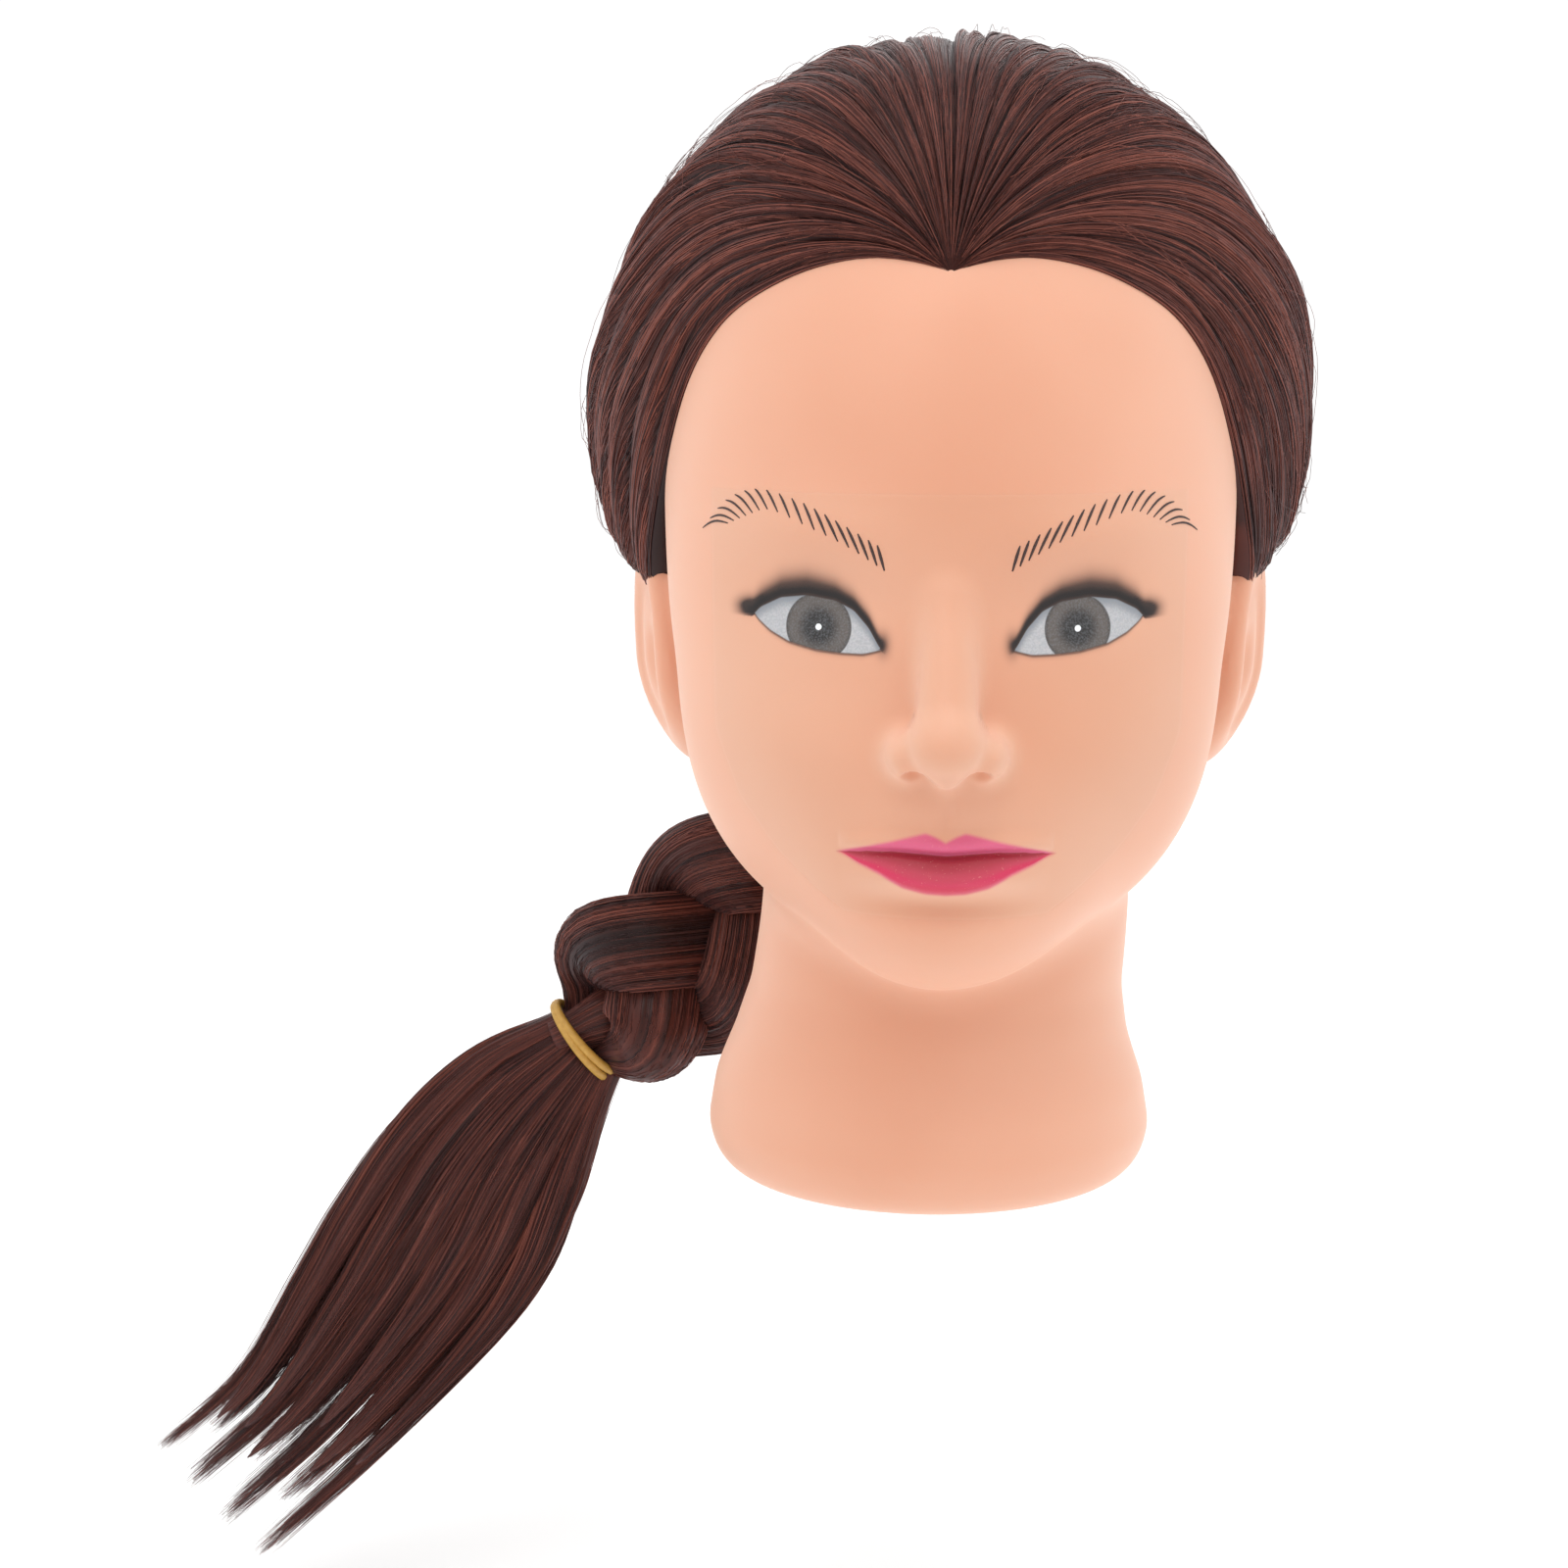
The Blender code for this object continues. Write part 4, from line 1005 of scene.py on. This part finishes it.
class HairLock:
    """A grooved lock of hair along a path, with fine strands over it."""

    def __init__(
        self, path: Array, half: Array, deep: Array, seed: int, twist: float = 0.0, dim: float = 1.0
    ) -> None:
        """Keeps the lock's path and size.

        Args:
            path: The points along its middle.
            half: Half its width at each point.
            deep: Half its depth at each point.
            seed: Picks its grain.
            twist: How many turns its hair makes round it.
            dim: How light its start is, where other hair shades it.
        """
        self.path, self.half, self.deep, self.twist, self.dim = path, half, deep, twist, dim
        self.grain = Grain(seed)
        self.along = unit(np.gradient(path, axis=0))
        back = np.array([0.0, 1.0, 0.0])
        self.normal = unit(back - (self.along @ back)[:, None] * self.along)
        self.beside = np.cross(self.along, self.normal)

    def place(self, share: Array, turn: Array, lift: Array | float = 0.0) -> tuple[Array, Array]:
        """Points on the lock's surface, and how deep each lies in its grooves, for the painted shade there
        and where other hair covers its start.
        """
        at = np.clip(share, 0, 1) * (len(self.path) - 1)
        known = np.arange(len(self.path))

        def read(values: Array) -> Array:
            """Values along the path at these shares."""
            if values.ndim == 1:
                return np.interp(at, known, values)
            return np.stack([np.interp(at, known, values[:, k]) for k in range(3)], -1)

        angle = turn + 2 * pi * self.twist * share
        wave = 16 * turn / (2 * pi)
        groove = self.grain.at(np.mod(wave, 16), share * 1.5)
        blend = ease((np.mod(wave, 16) - 15) / 1)
        groove = groove * (1 - blend) + self.grain.at(np.mod(wave, 16) - 16, share * 1.5) * blend
        fine = self.grain.at(turn * 11 + 30, share * 3)
        height = 0.075 * groove + 0.028 * fine
        lit = self.dim + (1 - self.dim) * ease(share / 0.5)
        depth = np.clip(0.58 + 0.62 * groove + 0.28 * fine, 0, 1) * lit
        wide, thick = read(self.half) * (1 + height) + lift, read(self.deep) * (1 + height) + lift
        side = read(self.beside) * (np.cos(angle) * wide)[..., None]
        front = read(self.normal) * (np.sin(angle) * thick)[..., None]
        return read(self.path) + side + front, depth

    def surface(self, name: str, rings: int = 90, around: int = 120) -> bpy.types.Object:
        """The lock itself, as a closed tube."""
        turns = np.arange(around) * 2 * pi / around
        share, turn = np.meshgrid(np.linspace(0, 1, rings), turns, indexing="ij")
        points, depth = self.place(share, turn)
        quads = grid_quads(rings, around, closed=True)[:, ::-1]
        ends = np.array([points[0].mean(0), points[-1].mean(0)])
        count = rings * around
        ring = np.arange(around)
        after = (ring + 1) % around
        caps = np.concatenate(
            [np.stack([np.full(around, count), ring, after], 1),
             np.stack([np.full(around, count + 1), count - around + after, count - around + ring], 1)]
        )
        piece = make_piece(name, np.concatenate([points.reshape(-1, 3), ends]), quads, caps)
        extra = np.array([0.0, 0.0])
        paint(piece, "flow_across", np.concatenate([turn.ravel() * 7, extra]))
        paint(piece, "flow_along", np.concatenate([share.ravel() * 3, extra]))
        paint(piece, "depth", np.concatenate([depth.ravel(), extra]))
        paint(piece, "tone", np.full(count + 2, 0.42))
        return piece

    def lines(self, random: np.random.Generator, count: int, steps: int) -> dict:
        """Fine strands over the lock, as arrays for a bundle."""
        run = np.linspace(0, 1, steps)
        start = random.uniform(0.0, 0.35, count)[:, None]
        end = random.uniform(0.7, 1.0, count)[:, None]
        share = start + (end - start) * run
        turn = random.uniform(0, 2 * pi, count)[:, None] + random.normal(0, 0.10, count)[:, None] * run
        arc = np.sin(pi * run)
        lift = random.uniform(-0.1, 0.4, count)[:, None] + 0.3 * random.random(count)[:, None] * arc
        centres, depth = self.place(share, np.broadcast_to(turn, share.shape), lift)
        known = np.arange(len(self.path))
        at = share * (len(self.path) - 1)
        middle = np.stack([np.interp(at, known, self.path[:, k]) for k in range(3)], -1)
        radii = random.uniform(0.10, 0.18, count)[:, None] * np.sin(pi * (0.06 + 0.88 * run)) ** 0.5
        return {
            "centres": centres, "radii": radii, "outward": centres - middle + 1e-3,
            "depth": np.clip(depth + 0.15, 0, 1), "across": np.broadcast_to(turn, share.shape) * 7,
            "along": share * 3,
        }


def strand_piece(
    name: str, groups: list[dict], random: np.random.Generator, fibre: bpy.types.Material, body: Body
) -> bpy.types.Object:
    """One piece that holds the strands of several locks."""
    joined = {key: np.concatenate([group[key] for group in groups]) for key in groups[0]}
    piece = make_piece(name, *bundle(joined["centres"], joined["radii"], joined["outward"]))
    count, steps = joined["radii"].shape
    paint(piece, "flow_across", np.repeat(joined["across"].ravel(), 3))
    paint(piece, "flow_along", np.repeat(joined["along"].ravel(), 3))
    paint(piece, "depth", np.repeat(joined["depth"].ravel(), 3))
    paint(piece, "tone", np.repeat(random.uniform(0.15, 1.0, count), steps * 3))
    return settle(piece, fibre, body)


@dataclass(frozen=True)
class PlaitSizes:
    """Sizes of the plait, in millimetres."""

    start: float = 14.0
    pitch: float = 112.0
    phase: float = 1 / 12
    spread: float = 17.0
    deep: float = 11.5
    wide_radius: float = 13.8
    deep_radius: float = 9.8
    narrow: float = 0.42
    taper: float = 22.0
    band_wire: float = 1.25


class Plait:
    """The knot at the nape, three crossing strands and the elastic band."""

    def __init__(self, nape: Array, band: Array, fibre: bpy.types.Material, sizes: PlaitSizes) -> None:
        """Keeps where the plait starts and where its band is."""
        self.nape, self.band, self.fibre, self.sizes = nape, band, fibre, sizes
        self.length = float(np.linalg.norm(band - nape))
        self.along = unit(band - nape)
        self.side = np.array([-self.along[2], 0.0, self.along[0]])
        self.random = np.random.default_rng(23)

    def size(self, far: Array) -> Array:
        """The plait's size as a share of its widest."""
        near = np.minimum(far - self.sizes.start, self.length - far)
        return self.sizes.narrow + (1 - self.sizes.narrow) * ease(near / self.sizes.taper)

    def build(self) -> None:
        """Makes the knot, the strands and the band."""
        self.build_knot()
        groups = []
        for index in range(3):
            far = np.linspace(self.sizes.start - 6, self.length + 5, 60)
            size = self.size(far)
            phase = 2 * pi * (far / self.sizes.pitch + index / 3 + self.sizes.phase)
            aside = self.sizes.spread * size * np.sin(phase)
            path = self.nape + self.along * far[:, None] + self.side * aside[:, None]
            path[:, 1] -= self.sizes.deep * size * np.sin(2 * phase)
            half, deep = self.sizes.wide_radius * size, self.sizes.deep_radius * size
            lock = HairLock(path, half, deep, 31 + index, 0.15, 0.12)
            piece = settle(lock.surface(f"plait_lock_{index + 1}"), self.fibre, Body.PLAIT)
            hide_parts(f"plait_strand_{index + 1}")
            groups.append(lock.lines(self.random, 520, 30))
        strand_piece("plait_fine_strands", groups, self.random, self.fibre, Body.PLAIT)
        self.build_band()

    def build_knot(self) -> None:
        """Makes the gathered hair behind the neck."""
        share = np.linspace(0, 1, 40)
        start = self.nape + np.array([0.0, -12.0, 22.0])
        path = through([start, self.nape + np.array([0.0, -1.0, 2.0]), self.nape + self.along * 20], share)
        swell = 0.30 + 0.70 * np.sin(pi * (0.06 + 0.80 * share))
        lock = HairLock(path, 24.0 * swell, 15.5 * swell, 41, 0.2, 0.15)
        piece = settle(lock.surface("nape_knot", 50, 110), self.fibre, Body.GATHER)
        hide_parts("nape_gather")
        lines = lock.lines(self.random, 500, 16)
        strand_piece("nape_knot_strands", [lines], self.random, self.fibre, Body.GATHER)

    def build_band(self) -> None:
        """Makes the elastic band, wound twice with a slight slant."""
        build, rubber = Shader.material("ochre_rubber")
        grain = build.noise(700.0, 3.0)
        ochre = build.mix(grain, (0.36, 0.175, 0.022), (0.60, 0.36, 0.075))
        build.finish(ochre, 0.5, Normal=build.bump(grain, 0.3, 0.0003))
        size = float(self.size(np.array(self.length)))
        radius = (self.sizes.spread + self.sizes.wide_radius) * size * 0.98
        turn = np.linspace(0, 4 * pi, 160)
        lines = []
        for offset in (-0.9, 0.9):
            ring = self.side * (np.cos(turn[:80]) * radius)[:, None]
            ring[:, 1] += np.sin(turn[:80]) * radius * 0.92
            slant = self.along * (offset + 0.7 * np.sin(turn[:80] + offset))[:, None]
            lines.append(self.band + ring + slant)
        centres = np.array(lines)
        wire = np.full(centres.shape[:2], self.sizes.band_wire)
        piece = make_piece("rubber_band", *bundle(centres, wire, centres - self.band, 8))
        settle(piece, rubber, Body.PLAIT)
        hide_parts("elastic_band")


class Tail:
    """The loose hair below the band, which fans out and ends in ragged points."""

    LEFT = [(-106, 18), (-129, 7), (-151, -14), (-168, -38), (-181, -60), (-200, -91), (-226, -115)]
    RIGHT = [(-89, 2), (-97, -20), (-103, -38), (-111, -57), (-126, -78), (-158, -112), (-196, -148)]
    LOCKS = 11
    CAD_LOCKS = 7
    LOOSE_PIECES = 3
    LOOSE_EACH = 1500

    def __init__(self, band: Array, depth: float, fibre: bpy.types.Material) -> None:
        """Keeps the band's place."""
        self.band, self.depth, self.fibre = band, depth, fibre
        self.random = np.random.default_rng(5)

    def middle(self, fan: float, share: Array, back: float) -> Array:
        """A line down the tail, at a share from its left edge to its right."""
        left, right = through(self.LEFT, share), through(self.RIGHT, share)
        flat = left + (right - left) * fan
        y = self.depth + back * np.sin(pi * (0.1 + 0.6 * share))
        return np.stack([flat[:, 0], y, flat[:, 1]], -1)

    def build(self) -> None:
        """Makes the locks and their strands."""
        groups = []
        for number in range(self.LOCKS):
            fan = 0.07 + 0.86 * number / (self.LOCKS - 1)
            reach = 0.78 + 0.14 * self.random.random()
            back = 9.0 * (1 if number % 2 else -1) * (0.4 + 0.6 * self.random.random())
            share = np.linspace(0, 1, 50)
            path = self.middle(fan, share * reach, back)
            slim = np.clip(1 - share, 0, 1) ** 0.55
            half = (3.0 + 3.9 * ease(share / 0.35)) * slim + 0.2
            lock = HairLock(path, half, half * 1.05, 60 + number, 0.1)
            piece = settle(lock.surface(f"tail_hank_{number + 1}", 70, 72), self.fibre, Body.TAIL)
            if number < self.CAD_LOCKS:
                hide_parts(f"tail_lock_{number + 1}")
            groups.append(lock.lines(self.random, 190, 26))
        strand_piece("tail_hank_strands", groups, self.random, self.fibre, Body.TAIL)
        for number in range(self.LOOSE_PIECES):
            strands = self.loose(self.LOOSE_EACH)
            strand_piece(f"tail_loose_strands_{number + 1}", [strands], self.random, self.fibre, Body.TAIL)

    def loose(self, count: int) -> dict:
        """Long strands that run the whole tail and draw together into points."""
        steps = 26
        run = np.linspace(0, 1, steps)
        fan = np.clip(self.random.uniform(-0.04, 1.04, count), -0.03, 1.03)
        tips = np.array([0.00, 0.12, 0.30, 0.45, 0.62, 0.80, 0.96])
        to = tips[np.abs(tips[None] - fan[:, None]).argmin(1)]
        reach = np.array([1.0, 0.93, 1.0, 0.92, 1.0, 0.94, 1.0])[np.searchsorted(tips, to)]
        length = reach * (1 - np.abs(self.random.normal(0, 0.13, count)))
        share = length[:, None] * run
        wander = self.random.normal(0, 0.02, count)[:, None] * run
        gathered = fan[:, None] + (to - fan)[:, None] * 0.55 * run**3 + wander
        held = np.clip(share, 0, 1)
        flat_left, flat_right = through(self.LEFT, held), through(self.RIGHT, held)
        flat = flat_left + (flat_right - flat_left) * gathered[..., None]
        over = np.maximum(share - 1, 0)[..., None] * np.array([-190.0, -170.0])
        flat = flat + over
        ahead = np.sqrt(np.clip(1 - (2 * gathered - 1) ** 2, 0.05, 1)) * (8 + 7 * np.sin(pi * held**0.8))
        front = np.where(self.random.random(count) < 0.6, -1, 1)[:, None]
        front = front * self.random.uniform(0.55, 1.05, count)[:, None]
        centres = np.stack([flat[..., 0], self.depth + front * ahead * (1 - 0.5 * run), flat[..., 1]], -1)
        radii = self.random.uniform(0.09, 0.17, count)[:, None] * (1 - 0.7 * run**3)
        outward = np.broadcast_to(np.array([0.1, -1.0, 0.1]), centres.shape)
        depth = np.broadcast_to(self.random.uniform(0.45, 1.0, count)[:, None], share.shape)
        return {"centres": centres, "radii": radii, "outward": outward, "depth": depth,
                "across": gathered * 60, "along": share * 3}


# ---------------------------------------------------------------- the room


class Studio:
    """A pale floor, soft lights and the camera."""

    FLOOR_HEIGHT = -0.165
    WORLD_STRENGTH = 1.06
    LENS = 64.1
    LIGHTS = (
        ("key", (-0.5, -1.3, 1.6), 0.9, 4.4), ("fill", (1.2, -1.3, 0.7), 1.2, 0.8),
        ("top", (0.1, -0.5, 1.7), 0.9, 6.0), ("back", (0.2, 1.6, 0.9), 1.0, 3.0),
    )

    def __init__(self, target: tuple, distance: float, elevation: float, yaw: float) -> None:
        """Keeps the view: target and distance in millimetres, angles in degrees."""
        self.target, self.distance, self.elevation, self.yaw = target, distance, elevation, yaw

    def build(self) -> None:
        """Makes the room."""
        bpy.ops.mesh.primitive_plane_add(size=12, location=(0, 0, self.FLOOR_HEIGHT))
        floor = bpy.context.object
        floor.name = "floor"
        pale = plain_finish("pale_floor", (0.955, 0.955, 0.955), (0.965, 0.965, 0.965), 0.95, 3.0)
        floor.data.materials.append(pale)
        world = bpy.data.worlds.new("studio")
        world.use_nodes = True
        world.node_tree.nodes["Background"].inputs[0].default_value = (1.0, 1.0, 1.0, 1)
        world.node_tree.nodes["Background"].inputs[1].default_value = self.WORLD_STRENGTH
        bpy.context.scene.world = world
        for name, place, size, power in self.LIGHTS:
            self.light(name, place, size, power)
        self.camera()
        bpy.context.scene.view_settings.view_transform = "Standard"

    @staticmethod
    def light(name: str, place: tuple, size: float, power: float) -> None:
        """A soft square light that points at the head."""
        data = bpy.data.lights.new(name, "AREA")
        data.size = size
        data.energy = power
        made = bpy.data.objects.new(name, data)
        made.location = place
        made.rotation_euler = (Vector((0, 0, 0.12)) - Vector(place)).to_track_quat("-Z", "Y").to_euler()
        bpy.context.scene.collection.objects.link(made)

    def camera(self) -> None:
        """The camera, level with the face and a little above it."""
        data = bpy.data.cameras.new("camera")
        data.lens = self.LENS
        data.sensor_width = 36
        data.clip_start = 0.01
        made = bpy.data.objects.new("camera", data)
        back = Vector((0, -cos(radians(self.elevation)), sin(radians(self.elevation))))
        made.location = (Vector(self.target) + back * self.distance) * MM
        made.rotation_euler = (radians(90 - self.elevation), 0, radians(self.yaw))
        bpy.context.scene.collection.objects.link(made)
        bpy.context.scene.camera = made


def finish_hidden_parts() -> None:
    """Gives the plug, the socket and the screws their own finishes."""
    finishes = {
        "base_plug": plain_finish("plug_plastic", (0.62, 0.40, 0.29), (0.70, 0.46, 0.34), 0.45, 300.0),
        "clamp_socket": plain_finish(
            "socket_plastic_black", (0.020, 0.020, 0.022), (0.035, 0.035, 0.038), 0.4, 500.0
        ),
    }
    steel = plain_finish("screw_steel_bright", (0.55, 0.55, 0.57), (0.42, 0.42, 0.44), 0.3, 800.0, 1.0)
    finishes.update({f"flange_screw_{number}": steel for number in (1, 2, 3)})
    for name, finish in finishes.items():
        node = frame["nodes"][name]
        node.data.materials.clear()
        node.data.materials.append(finish)


def joint_place(name: str) -> Array:
    """Where a joint of the record turns, in millimetres."""
    found = next(joint for joint in frame["joints"] if joint["name"] == name)
    return np.array(found["pos_m"], float) / MM


def main() -> None:
    """Builds every piece, in order."""
    logging.basicConfig(level=logging.INFO, format="%(name)s: %(message)s")
    form = HeadForm(HeadSizes())
    MouldedHead(form, VinylFinish()).build()
    hair = HairFinish()
    fibre = hair.fibre(hair.tone_group())
    ScalpHair(form, fibre).build()
    nape, band = joint_place("plait_swing"), joint_place("tail_bend")
    Plait(nape, band, fibre, PlaitSizes()).build()
    Tail(band, band[1], fibre).build()
    finish_hidden_parts()
    Studio(target=(4.0, -50.0, 105.6), distance=650.0, elevation=9.0, yaw=3.37).build()


if __name__ == "__main__":
    main()
